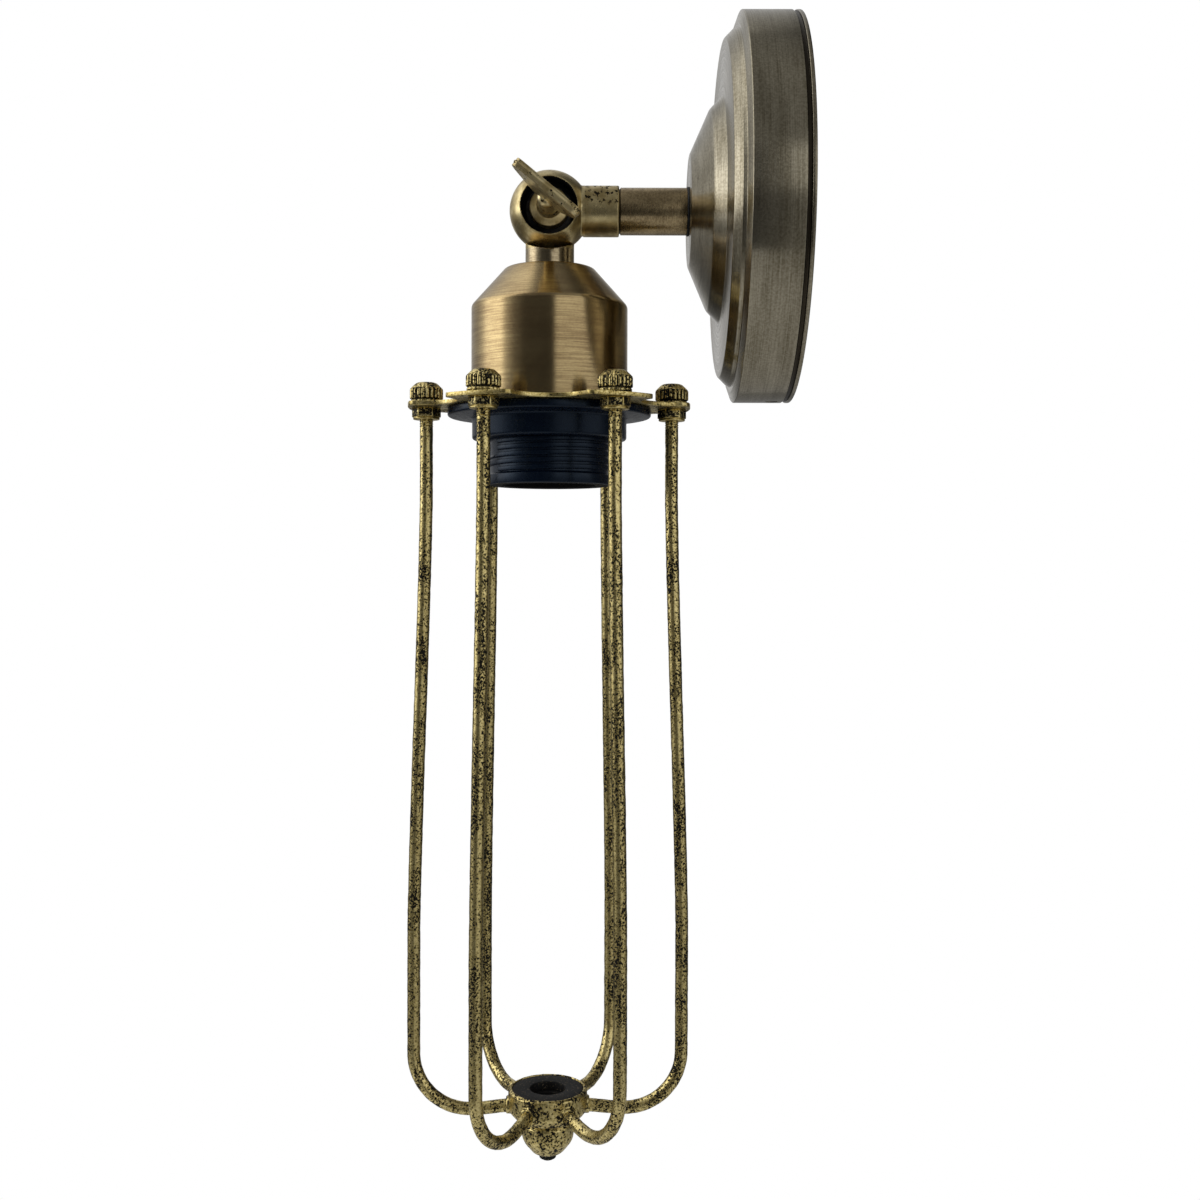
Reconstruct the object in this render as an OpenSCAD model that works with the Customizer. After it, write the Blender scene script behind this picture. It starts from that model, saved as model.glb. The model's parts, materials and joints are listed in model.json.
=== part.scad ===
// Cage wall light. A spun canopy on the wall carries a short arm. A split ball
// knuckle lets the lampholder tilt, and six bent wires guard the bulb.
// Wall face at y = 0, arm along -Y, pivot axis along X, +Z up. Millimetres.

/* [Canopy] */
// Diameter of the canopy at the wall
canopy_d = 120; // [116:1:126]
// Depth of the side band, from the wall to its front edge
canopy_side = 17.8; // [15:0.2:19]
// Height of the thin lip at the wall
lip_h = 1.5; // [1:0.1:2.5]
// Width and depth of the groove behind the lip
lip_groove = 0.6; // [0.3:0.1:0.8]
// Distance from the wall to the raised face
face_out = 21.9; // [21:0.1:24]
// Diameter of the raised face
face_d = 101; // [96:1:104]
// Diameter of the step round the raised face
step_d = 109; // [106:1:112]
// Diameter of the dome at its foot
dome_d = 70; // [60:1:80]
// Diameter of the dome at its shoulder
shoulder_d = 62; // [50:1:66]
// Distance from the wall to the dome's shoulder
shoulder_out = 26.6; // [24.8:0.2:28]
// Diameter of the dome's flat front
disc_d = 35; // [28:1:44]
// Distance from the wall to the dome's flat front
disc_out = 32.6; // [30.5:0.1:36]
// Sheet thickness of the canopy
canopy_wall = 1.2; // [0.8:0.1:1.5]

/* [Bracket] */
// Width of the bracket's strap
strap_w = 20; // [16:1:26]
// Thickness of the strap and its ears
strap_t = 1.6; // [1.2:0.1:2]
// Width of each ear
ear_w = 14; // [10:1:16]
// Height of each ear from the wall
ear_h = 11; // [9:0.5:14]
// Distance between the two wall screws
wall_screw_pitch = 60; // [50:1:80]
// Diameter of the wall screw holes
wall_screw_hole = 5.2; // [4:0.1:6]
// Diameter of the canopy's grub screws
grub_d = 4; // [3:0.5:5]
// Length of a grub screw
grub_l = 6; // [5:0.5:8]
// Distance from the wall to the grub screws
grub_out = 6; // [5:0.5:8]
// Length, width and height of the terminal block
block_size = [12, 17, 11]; // [8:1:24]
// Distance from the arm's axis down to the terminal block's middle
block_drop = 16; // [14:1:18]
// Diameter of a terminal block's wire hole
block_hole = 3.4; // [2.4:0.2:4]
// Distance from the arm's axis up to the earth screw
earth_rise = 14; // [10:1:18]
// Diameter of the earth screw
earth_d = 4; // [3:0.5:5]

/* [Arm] */
// Distance from the wall to the knuckle's pivot
pivot_out = 76.5; // [70:0.5:90]
// Outer diameter of the arm tube
tube_d = 14.7; // [13.5:0.1:16]
// Wall of the arm tube
tube_wall = 2; // [1:0.1:2.2]
// Diameter of the hollow threaded rod and nipple
rod_d = 10; // [9:0.5:10.5]
// Diameter of the wire channel
channel_d = 6; // [4:0.5:6.5]
// How far the rod reaches into the knuckle's collar
rod_in = 6.5; // [5:0.5:7]
// Thickness of the ring between canopy and tube
ring_t = 0.6; // [0.4:0.1:1.2]
// Thickness of the lock nuts
nut_t = 3; // [2.5:0.5:4]
// Width of the lock nuts across the flats
nut_af = 14; // [13:0.5:15]
// Diameter of the lock washer
washer_d = 17; // [15.5:0.5:20]
// Thickness of the lock washer
washer_t = 1; // [0.6:0.1:1.6]

/* [Knuckle] */
// Diameter of the knuckle's ball
ball_d = 25.5; // [24:0.1:27]
// Diameter of the collar on the arm side
collar_d = 15.9; // [15.5:0.1:16.5]
// Distance from the pivot to the collar's end
collar_out = 21.9; // [19:0.1:24]
// Diameter of the neck on the lamp side
neck_d = 15.4; // [14.8:0.1:16.2]
// Distance from the pivot down to the neck's end
neck_out = 18.3; // [17:0.1:22]
// Diameter of the recess for the wing screw
recess_d = 17.7; // [16:0.1:18.5]
// Thickness of the recess floor
recess_floor = 1.8; // [1.4:0.1:2.6]
// Diameter of the spring washer
spring_d = 15; // [12:0.5:15.5]
// Thickness of the spring washer
spring_t = 0.6; // [0.4:0.1:0.9]
// Inner diameter of the wire groove round the screw
groove_in_d = 8.6; // [8:0.1:9]
// Outer diameter of the wire groove round the screw
groove_out_d = 22; // [20.5:0.1:22.4]
// Depth of the wire groove
groove_deep = 3; // [2:0.2:3.4]
// Wall left between the recess and the wire channel
channel_wall = 0.6; // [0.4:0.1:0.8]

/* [Wing screw] */
// Diameter of the wing screw's shank
shank_d = 5; // [4:0.5:5.5]
// How far the shank reaches past the split
shank_in = 8.5; // [6:0.5:9]
// Diameter of the screw's skirt
skirt_d = 11.8; // [10:0.2:14]
// Diameter of the screw's neck
boss_neck_d = 7.6; // [7:0.2:9]
// Diameter of the screw's boss
boss_d = 6.6; // [6:0.2:7]
// Distance from the split to the skirt's top
skirt_top = 8; // [6:0.5:9]
// Distance from the split to the wing's root
wing_root = 17.5; // [14:0.5:20]
// Distance from the split to the wing's outer edge
wing_edge = 31.5; // [26:0.5:34]
// Width of the wing at its root
wing_root_w = 9.6; // [8:0.2:12]
// Width of the wing at its outer edge
wing_edge_w = 24.6; // [18:0.2:26]
// Thickness of the wing
wing_t = 2.4; // [2:0.1:3]
// Angle of the wing below the arm, at rest
wing_angle = 39.5; // [0:0.5:90]

/* [Cup] */
// Diameter of the cup
cup_d = 49.4; // [48:0.2:54]
// Diameter of the cup's flat top
cup_top_d = 28; // [22:1:32]
// Distance from the pivot to the foot of the cup's cone
cone_foot = 30.3; // [28:0.1:34]
// Sheet thickness of the cup
cup_wall = 1; // [0.7:0.1:1.3]

/* [Lampholder] */
// Distance from the pivot down to the cage plate's top
plate_drop = 61.2; // [59:0.1:66]
// Distance from the pivot down to the lampholder's mouth
mouth_drop = 86.8; // [84:0.1:92]
// Diameter of the lampholder's threaded skirt
holder_d = 39.1; // [38.6:0.1:40]
// Depth of the thread on the skirt
thread_deep = 0.7; // [0.4:0.1:0.9]
// Pitch of the thread on the skirt
thread_pitch = 2.2; // [1.8:0.1:2.6]
// Number of thread turns that show
thread_turns = 6; // [4:1:6]
// Inner diameter of the skirt above the contact ledge
core_room_d = 30; // [28.6:0.2:33]
// Inner diameter of the skirt's mouth
mouth_d = 29.6; // [28.6:0.2:32]
// Depth of the wide mouth
mouth_deep = 6.8; // [5:0.2:9]
// Inner diameter of the threaded screw shell
shell_d = 26.6; // [26.4:0.1:26.8]
// Sheet thickness of the screw shell
shell_wall = 0.5; // [0.3:0.1:0.6]
// Length of the screw shell
shell_l = 20; // [16:0.5:21]
// Thickness of the contact core
core_t = 7; // [5:0.5:8]
// Width of the centre contact
contact_w = 6; // [4:0.5:8]
// Height of the centre contact
contact_h = 2.2; // [1.8:0.1:2.6]
// Diameter of the lampholder's cap
cap_d = 38.4; // [37:0.2:39]
// Wall of the lampholder's cap
cap_wall = 2; // [1.4:0.1:2.4]
// Length of the skirt's spigot in the cap
spigot_l = 6; // [4:0.5:8]
// Distance from the plate's top to the cap's lower edge
cap_foot = 9.2; // [8:0.2:11]
// Diameter of the cap's collar
cap_collar_d = 15; // [14:0.5:16]
// Height of the cap's collar
cap_collar_h = 4.5; // [3.5:0.5:6]

/* [Shade ring] */
// Diameter of the shade ring's flange
flange_d = 64.4; // [60:0.2:68]
// Thickness of the flange
flange_t = 2.5; // [2:0.1:3.2]
// Diameter of the ring's sleeve
sleeve_d = 48.9; // [46:0.1:52]
// Distance from the flange's top to the sleeve's lower edge
sleeve_h = 9.8; // [8:0.2:12]

/* [Cage] */
// Diameter of the cage plate
plate_d = 89.2; // [88:0.2:94]
// Thickness of the cage plate
plate_t = 1.3; // [1:0.1:1.8]
// Diameter of the circle of studs
stud_circle_d = 77.8; // [76:0.2:80]
// Diameter of the scallops between the lobes
scallop_d = 23.2; // [20:0.2:25]
// Distance from the axis to a scallop's centre
scallop_out = 45.6; // [44.6:0.1:48]
// Number of wires
wire_count = 6; // [6:1:6]
// Diameter of a wire
wire_d = 4.2; // [4.1:0.1:4.6]
// Diameter of a wire's threaded stud
stud_d = 4; // [3.4:0.1:4]
// How much thicker the wire gets where it is bent
bend_swell = 0.06; // [0.04:0.01:0.1]
// Length of thread that shows under a hex nut
thread_show = 2; // [1:0.5:4]
// Distance from the axis to a wire where its lower bend starts
wire_low_r = 42.7; // [40:0.1:46]
// Radius of the lower bend
bend_r = 18; // [14:0.5:22]
// Distance from the pivot down to the wires' inward run
wire_drop = 284.2; // [270:0.5:300]
// Turn of the cage on the lampholder
cage_turn = -2; // [-10:0.5:10]
// Diameter of a thumb nut
knob_d = 10.5; // [9.6:0.1:11.4]
// Height of a thumb nut
knob_h = 6.5; // [6:0.1:8]
// Height of a thumb nut's lower collar
knob_collar_h = 1.3; // [1:0.1:1.8]
// Width of a hex nut across the flats
hex_af = 8; // [7:0.1:8.4]
// Height of a hex nut
hex_h = 3.6; // [3:0.1:4.4]

/* [Hub] */
// Diameter of the hub
hub_d = 25.2; // [24:0.1:28]
// Height of the hub
hub_h = 7.8; // [7.4:0.1:10]
// Distance from the wires' inward run up to the hub's top
hub_rise = 4.4; // [4:0.1:5]
// Diameter of the hub's bore
hub_bore_d = 16.4; // [15:0.1:17.4]
// Diameter of the insert's flange in the hub's top
insert_d = 22.6; // [20:0.1:22.8]
// Diameter of the insert's upper hole
insert_hole_d = 11.4; // [10:0.1:12]
// Diameter of the finial
finial_d = 16.2; // [15.4:0.1:18]
// Distance from the hub's bottom to the finial's widest point
finial_neck = 5.6; // [4:0.1:7]
// Height of the finial's dome
finial_dome = 7.4; // [6:0.1:9]
// Diameter of the finial's tip
tip_d = 5.1; // [4:0.1:6]
// Diameter of the finial's stem
stem_d = 5; // [4:0.5:6]
// Height of the finial's tip
tip_h = 1.6; // [1:0.1:2.4]

/* [Fits] */
// Radial gap between a thread and its hole
thread_gap = 0.05; // [0.03:0.01:0.1]
// Gap between faces that move past each other
run_gap = 0.3; // [0.2:0.05:0.4]
// Radial gap round a screw that passes through
pass_gap = 0.4; // [0.2:0.1:0.6]

/* [Hidden] */
$fn = 96;

eps = 0.01;
arc_steps = 6;
antique = "#7d7159";
brass = "#a08a4e";
gilt = "#5d5130";
black = "#14161d";
steel = "#9a9a96";
bare_brass = "#c2a254";

rim_r = canopy_d / 2;
canopy_in_r = rim_r - canopy_wall;
rod_r = rod_d / 2;
hole_r = rod_r + thread_gap;
tube_start = disc_out + ring_t;
tube_end = pivot_out - collar_out;
rod_end = tube_end + rod_in;
disc_in = disc_out - canopy_wall;
rod_start = disc_in - washer_t - nut_t - 2;
ear_out = sqrt(pow(canopy_in_r - run_gap, 2) - pow(strap_w / 2, 2));
block_pitch = block_size[0] / 2;
block_screw_r = 1.5;

ball_r = ball_d / 2;
relief_r = ball_r + run_gap;
half_gap = run_gap / 2;
floor_x = half_gap + recess_floor;
skirt_x = floor_x + spring_t + run_gap;

cup_r = cup_d / 2;
cup_under = neck_out + cup_wall;
cap_top = cup_under + nut_t + half_gap;
nipple_top = relief_r;
nipple_end = cap_top + cap_collar_h + 1;
cap_end = plate_drop - cap_foot;
holder_r = holder_d / 2;
spigot_r = cap_d / 2 - cap_wall - thread_gap;
shell_r = shell_d / 2;
shell_out_r = shell_r + shell_wall;
shell_top = mouth_drop - mouth_deep - shell_l;
ledge = shell_top - contact_h - half_gap;
core_r = core_room_d / 2 - thread_gap;
plate_end = plate_drop + plate_t;
ring_top = plate_end + half_gap;
thread_end = mouth_drop - 3.6;

stud_r = stud_circle_d / 2;
wire_r = wire_d / 2;
stud_hole_r = stud_d / 2 + thread_gap;
knob_in = knob_h - 1.4;
stud_end = plate_end + hex_h + thread_show;
bend_x = wire_low_r - bend_r;
to_bend = [bend_x - stud_r, wire_drop - bend_r - stud_end];
flare = atan(to_bend[0] / to_bend[1]) + asin(bend_r / norm(to_bend));
run_l = sqrt(pow(norm(to_bend), 2) - pow(bend_r, 2));
hub_top = wire_drop - hub_rise;
hub_end = hub_top + hub_h;
wire_in_r = hub_bore_d / 2 + 0.4;
insert_r = hub_bore_d / 2 - thread_gap;
finial_wide = hub_end + finial_neck;
finial_end = finial_wide + finial_dome;

// One corner of a profile, rounded by an arc of radius r.
function corner(a, b, c, r, n) =
  let (u = (a - b) / norm(a - b), v = (c - b) / norm(c - b))
  let (half = acos(max(-1, min(1, u * v))) / 2)
  let (mid = (u + v) / norm(u + v), ctr = b + mid * r / sin(half))
  let (p = b + u * r / tan(half) - ctr, q = b + v * r / tan(half) - ctr)
  let (a0 = atan2(p[1], p[0]), turn = atan2(p[0] * q[1] - p[1] * q[0], p * q))
  [for (i = [0 : n]) ctr + r * [cos(a0 + turn * i / n), sin(a0 + turn * i / n)]];

// A closed profile from [x, y, corner radius] rows.
function rounded(rows, n = arc_steps) = [
  for (i = [0 : len(rows) - 1])
    let (a = rows[(i + len(rows) - 1) % len(rows)], b = rows[i], c = rows[(i + 1) % len(rows)])
    each b[2] == 0 ? [[b[0], b[1]]]
      : corner([a[0], a[1]], [b[0], b[1]], [c[0], c[1]], b[2], n)
];

// A solid turned about Z from a rounded profile.
module lathe(rows) rotate_extrude() polygon(rounded(rows));

// Children drawn along +Z are laid along the arm, out of the wall.
module from_wall() rotate([90, 0, 0]) children();

// Children are placed at the pivot, +Z up.
module at_pivot() translate([0, -pivot_out, 0]) children();

// Children drawn along +Z point down from the pivot.
module down() at_pivot() rotate([180, 0, 0]) children();

// Children drawn along +Z are laid along the pivot axis.
module along_pivot() at_pivot() rotate([0, 90, 0]) children();

module tube(r_out, r_in, z0, z1) difference() {
  translate([0, 0, z0]) cylinder(r = r_out, h = z1 - z0);
  translate([0, 0, z0 - 1]) cylinder(r = r_in, h = z1 - z0 + 2);
}

module hex(af, h) rotate([0, 0, 30]) cylinder(d = af / cos(30), h = h, $fn = 6);

module hex_nut(af, h, r_in) difference() {
  hex(af, h);
  translate([0, 0, -1]) cylinder(r = r_in, h = h + 2);
}

// Children are repeated at each wire's place round the lamp's axis.
module at_wire(k) down() rotate([0, 0, cage_turn + 360 / wire_count * (k - 1)])
  translate([0, stud_r, 0]) children();

// ---- Wall side ----

module wall_bracket() color(steel) from_wall() difference() {
  union() {
    translate([-strap_w / 2, -ear_out, 0]) cube([strap_w, 2 * ear_out, strap_t]);
    for (s = [-1, 1]) translate([-ear_w / 2, s * (ear_out - strap_t / 2) - strap_t / 2, 0])
      cube([ear_w, strap_t, ear_h]);
  }
  for (s = [-1, 1]) {
    translate([0, s * wall_screw_pitch / 2, -1]) cylinder(d = wall_screw_hole, h = strap_t + 2);
    translate([0, s * (ear_out - strap_t / 2), grub_out]) rotate([90, 0, 0])
      cylinder(r = grub_d / 2 + thread_gap, h = 3 * strap_t, center = true);
  }
  translate([0, earth_rise, -1]) cylinder(r = earth_d / 2 + thread_gap, h = strap_t + 2);
}

module canopy_screws() color(steel) from_wall()
  for (s = [-1, 1]) translate([0, s * (rim_r - run_gap), grub_out]) rotate([90 * s, 0, 0])
    difference() {
      cylinder(d = grub_d, h = grub_l);
      translate([0, 0, -1]) cylinder(d = grub_d / 2, h = 3, $fn = 6);
    }

module earth_screw() color(bare_brass) from_wall() translate([0, earth_rise, 0])
  difference() {
    union() {
      translate([0, 0, 0.2]) cylinder(d = earth_d, h = strap_t);
      translate([0, 0, strap_t]) cylinder(d = 2.2 * earth_d, h = 0.8);
      translate([0, 0, strap_t + 0.8]) cylinder(d = 1.8 * earth_d, h = 2.2);
    }
    translate([-earth_d, -0.4, strap_t + 1.8]) cube([2 * earth_d, 0.8, 3]);
  }

module at_block() from_wall() translate([0, -block_drop, strap_t]) children();

module terminal_block() color("#e8e4d8") at_block() difference() {
  translate([-block_size[0] / 2, -block_size[1] / 2, 0]) cube(block_size);
  for (s = [-1, 1]) translate([s * block_pitch / 2, 0, 0]) {
    translate([0, 0, block_size[2] / 3]) rotate([90, 0, 0])
      cylinder(d = block_hole, h = block_size[1] + 2, center = true);
    for (e = [-1, 1]) translate([0, e * block_size[1] / 4, block_size[2] / 3])
      cylinder(r = block_screw_r + thread_gap, h = block_size[2]);
  }
}

module terminal_screws() color(bare_brass) at_block()
  for (s = [-1, 1], e = [-1, 1])
    translate([s * block_pitch / 2, e * block_size[1] / 4, block_size[2] / 3 + 1])
      cylinder(r = block_screw_r, h = block_size[2] / 2 - 1);

// The canopy's outline from the rim to the centre, moved in by w.
function canopy_rows(w) = [
  [0, -1, 0],
  [rim_r - w, -1, 0],
  [rim_r - w, canopy_side - w, 0.8],
  [step_d / 2 - w, canopy_side + 2 - w, 0.5],
  [(step_d + face_d) / 4 + 1 - w, face_out - w, 1.6],
  [dome_d / 2 - w, face_out + 0.3 - w, 1.5],
  [shoulder_d / 2 - w, shoulder_out - w, 3],
  [disc_d / 2 - w, disc_out - w, 1.2],
  [0, disc_out - w, 0]
];

module canopy() color(antique) from_wall() difference() {
  lathe(canopy_rows(0));
  lathe(canopy_rows(canopy_wall));
  translate([0, 0, -2]) cylinder(r = rim_r + 1, h = 2);
  cylinder(r = hole_r + pass_gap, h = disc_out + 1);
  tube(rim_r + 1, rim_r - lip_groove, lip_h, lip_h + lip_groove);
  for (s = [-1, 1]) translate([0, s * rim_r, grub_out]) rotate([90, 0, 0])
    cylinder(r = grub_d / 2 + thread_gap, h = 6, center = true);
}

module arm_rod() color(steel) from_wall() tube(rod_r, channel_d / 2, rod_start, rod_end);

module rod_washer() color(steel) from_wall()
  tube(washer_d / 2, hole_r, disc_in - washer_t, disc_in);

module rod_nut() color(steel) from_wall() translate([0, 0, disc_in - washer_t - nut_t])
  hex_nut(nut_af, nut_t, hole_r);

module tube_ring() color(black) from_wall()
  tube(tube_d / 2 + 0.3, hole_r, disc_out, tube_start);

module arm_tube() color(antique) from_wall()
  tube(tube_d / 2, tube_d / 2 - tube_wall, tube_start, tube_end);

// Half of the ball, on the side that s gives.
module half_ball(s) intersection() {
  rotate([0, 0, 90 + 90 * s]) sphere(r = ball_r);
  translate([s * (half_gap + ball_r), 0, 0]) cube(2 * ball_r, center = true);
}

// The room that one half's neck leaves for the other half's ball.
module relief(s) rotate([0, 90, 0])
  translate([0, 0, s > 0 ? -half_gap : half_gap - 2 * ball_r])
    cylinder(r = relief_r, h = 2 * ball_r);

module fixed_knuckle() color(brass) at_pivot() difference() {
  union() {
    half_ball(1);
    difference() {
      rotate([-90, 0, 0]) cylinder(d = collar_d, h = collar_out);
      relief(-1);
    }
  }
  rotate([0, 90, 0]) translate([0, 0, floor_x]) cylinder(d = recess_d, h = ball_d);
  rotate([0, 90, 0]) cylinder(r = shank_d / 2 + pass_gap, h = ball_d);
  rotate([-90, 0, 0]) translate([0, 0, collar_out - rod_in]) cylinder(r = hole_r, h = ball_d);
  rotate([-90, 0, 0]) translate([0, 0, recess_d / 2 + channel_wall])
    cylinder(d = channel_d, h = ball_d);
}

module spring_washer() color(steel) along_pivot()
  tube(spring_d / 2, shank_d / 2 + pass_gap, floor_x, floor_x + spring_t);

// ---- Lamp side ----

module swivel_knuckle() color(brass) at_pivot() difference() {
  union() {
    half_ball(-1);
    difference() {
      translate([0, 0, -neck_out]) cylinder(d = neck_d, h = neck_out);
      relief(1);
    }
  }
  rotate([0, -90, 0]) tube(groove_out_d / 2, groove_in_d / 2, -1, half_gap + groove_deep);
  rotate([0, -90, 0]) cylinder(r = shank_d / 2 + thread_gap, h = shank_in + 0.5);
  translate([0, 0, -neck_out - 1]) cylinder(r = hole_r, h = rod_in + 1);
  translate([0, 0, -neck_out]) cylinder(d = channel_d, h = neck_out - groove_out_d / 2 + 0.5);
}

// The wing, flat in the pivot's plane: root towards the ball, edge outwards.
module wing() rotate([90, 0, 0]) translate([0, 0, -wing_t / 2]) linear_extrude(wing_t)
  polygon(rounded([
    [-wing_root_w / 2, wing_root, 2],
    [wing_root_w / 2, wing_root, 2],
    [wing_edge_w / 2, wing_edge - 3.5, 3],
    [wing_edge_w / 2, wing_edge, 1.6],
    [-wing_edge_w / 2, wing_edge, 1.6],
    [-wing_edge_w / 2, wing_edge - 3.5, 3]
  ]));

module wing_screw() color(brass) along_pivot() {
  translate([0, 0, -shank_in]) cylinder(d = shank_d, h = shank_in + skirt_x + 1);
  lathe([
    [0, skirt_x, 0],
    [skirt_d / 2, skirt_x, 0.4],
    [skirt_d / 2, skirt_x + 1.2, 0.4],
    [boss_neck_d / 2, skirt_top, 0.4],
    [boss_d / 2, skirt_top + 0.6, 0],
    [boss_d / 2, wing_root + 2.4, 1.8],
    [0, wing_root + 2.4, 0]
  ]);
  rotate([0, 0, 90 - wing_angle]) wing();
}

function cup_rows(w) = [
  [0, neck_out + w, 0],
  [cup_top_d / 2 - w / 2, neck_out + w, 1.5],
  [cup_r - w, cone_foot + w / 2, 2.5],
  [cup_r - w, plate_drop + (w > 0 ? 1 : 0), 0],
  [0, plate_drop + (w > 0 ? 1 : 0), 0]
];

module cup() color(antique) down() difference() {
  lathe(cup_rows(0));
  lathe(cup_rows(cup_wall));
  translate([0, 0, neck_out - 1]) cylinder(r = hole_r, h = cup_wall + 2);
}

module nipple() color(steel) down() tube(rod_r, channel_d / 2, nipple_top, nipple_end);

module nipple_nut() color(steel) down() translate([0, 0, cup_under])
  hex_nut(nut_af, nut_t, hole_r);

function cap_rows(w) = [
  [0, cap_top + cap_collar_h + w, 0],
  [cap_d / 4, cap_top + cap_collar_h + w, 1],
  [cap_d / 2 - w, cap_top + 14 + w / 2, 3],
  [cap_d / 2 - w, cap_end + (w > 0 ? 1 : 0), 0],
  [0, cap_end + (w > 0 ? 1 : 0), 0]
];

module holder_cap() color(black) down() difference() {
  union() {
    lathe(cap_rows(0));
    translate([0, 0, cap_top]) cylinder(d = cap_collar_d, h = cap_collar_h + 1);
  }
  lathe(cap_rows(cap_wall));
  translate([0, 0, cap_top - 1]) cylinder(r = hole_r, h = cap_collar_h + cap_wall + 2);
}

module holder_skirt() color(black) down() difference() {
  union() {
    translate([0, 0, cap_end]) cylinder(r = holder_r - thread_deep, h = thread_end - cap_end);
    translate([0, 0, cap_end - spigot_l]) cylinder(r = spigot_r, h = spigot_l + 1);
    translate([0, 0, cap_end]) cylinder(r = holder_r, h = plate_drop - cap_end + sleeve_h + 1);
    for (i = [0 : thread_turns - 1]) lathe([
      [10, thread_end - thread_pitch * (i + 0.95), 0],
      [holder_r - thread_deep, thread_end - thread_pitch * (i + 0.95), 0],
      [holder_r, thread_end - thread_pitch * (i + 0.65), 0.1],
      [holder_r, thread_end - thread_pitch * (i + 0.3), 0.1],
      [holder_r - thread_deep, thread_end - thread_pitch * i, 0],
      [10, thread_end - thread_pitch * i, 0]
    ]);
    translate([0, 0, thread_end - eps]) cylinder(r = holder_r, h = mouth_drop - thread_end + eps);
  }
  translate([0, 0, cap_end - spigot_l - 1]) cylinder(d = core_room_d, h = spigot_l + 1 + ledge - cap_end);
  translate([0, 0, ledge - 1]) cylinder(r = shell_out_r + thread_gap, h = mouth_drop);
  translate([0, 0, mouth_drop - mouth_deep]) cylinder(d = mouth_d, h = mouth_deep + 1);
}

module contact_core() color("#d9d2c2") down() difference() {
  translate([0, 0, ledge - core_t]) cylinder(r = core_r, h = core_t);
  for (s = [-1, 1]) translate([s * core_r / 2, 0, ledge - core_t - 1])
    cylinder(r = block_screw_r + thread_gap, h = core_t - 1);
}

module contact_screws() color(bare_brass) down()
  for (s = [-1, 1]) translate([s * core_r / 2, 0, ledge - core_t]) {
    translate([0, 0, -2]) cylinder(r = 2.8, h = 2);
    translate([0, 0, -1]) cylinder(r = block_screw_r, h = core_t - 2);
  }

module screw_shell() color(bare_brass) down()
  tube(shell_out_r, shell_r, shell_top, shell_top + shell_l);

module centre_contact() color(bare_brass) down() {
  translate([-contact_w / 2, -contact_w, ledge]) cube([contact_w, 2 * contact_w, 0.5]);
  translate([0, 0, ledge + 0.4]) cylinder(d1 = contact_w, d2 = contact_w / 2, h = contact_h - 0.4);
}

module shade_ring() color(black) down() difference() {
  lathe([
    [10, ring_top, 0],
    [flange_d / 2, ring_top, 0.4],
    [flange_d / 2, ring_top + flange_t, 0.6],
    [sleeve_d / 2, ring_top + flange_t + 0.4, 0.6],
    [sleeve_d / 2, ring_top + sleeve_h, 0.8],
    [10, ring_top + sleeve_h, 0]
  ]);
  translate([0, 0, ring_top - 1]) cylinder(r = holder_r + thread_gap, h = sleeve_h + 2);
}

// ---- Cage ----

module cage_plate() color(gilt) down() difference() {
  translate([0, 0, plate_drop]) cylinder(d = plate_d, h = plate_t);
  translate([0, 0, plate_drop - 1]) cylinder(r = holder_r + thread_gap, h = plate_t + 2);
  for (k = [1 : wire_count]) rotate([0, 0, cage_turn + 360 / wire_count * (k - 1)]) {
    translate([0, stud_r, plate_drop - 1]) cylinder(r = stud_hole_r + pass_gap / 2, h = plate_t + 2);
    rotate([0, 0, 180 / wire_count]) translate([0, scallop_out, plate_drop - 1])
      cylinder(d = scallop_d, h = plate_t + 2);
  }
}

module hex_nuts() color(gilt) for (k = [1 : wire_count]) at_wire(k)
  translate([0, 0, plate_end]) difference() {
    union() {
      hex(hex_af, hex_h - 0.7);
      translate([0, 0, hex_h - 0.8]) cylinder(d = hex_af + 0.4, h = 0.8);
    }
    translate([0, 0, -1]) cylinder(r = stud_hole_r, h = hex_h + 2);
  }

module thumb_nut(k) color(gilt) at_wire(k) difference() {
  lathe([
    [0, plate_drop - knob_h, 0],
    [knob_d / 3.4, plate_drop - knob_h, 2.5],
    [knob_d / 2, plate_drop - knob_h + 2.2, 1.2],
    [knob_d / 2, plate_drop - knob_collar_h - 0.5, 0.2],
    [knob_d / 2 - 0.5, plate_drop - knob_collar_h, 0.2],
    [knob_d / 2 - 0.4, plate_drop - half_gap, 0.3],
    [0, plate_drop - half_gap, 0]
  ]);
  translate([0, 0, plate_drop - knob_in]) cylinder(r = stud_hole_r, h = knob_h);
}

// One wire: its stud, the flared straight, the lower bend and the inward run.
module cage_wire(k) color(gilt) at_wire(k) {
  translate([0, 0, plate_drop - knob_in + half_gap])
    cylinder(d = stud_d, h = stud_end - plate_drop + knob_in + 1);
  translate([0, 0, stud_end]) rotate([-flare, 0, 0]) cylinder(r = wire_r, h = run_l + 0.5);
  translate([0, bend_x - stud_r, wire_drop - bend_r]) rotate([90, 0, 90]) rotate([0, 0, -flare])
    rotate_extrude(angle = 90 + flare) translate([bend_r, 0])
      circle(r = wire_r + bend_swell / 2, $fn = 48);
  translate([0, wire_in_r - stud_r, wire_drop]) rotate([-90, 0, 0])
    cylinder(r = wire_r, h = bend_x - wire_in_r + 0.5);
}

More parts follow.
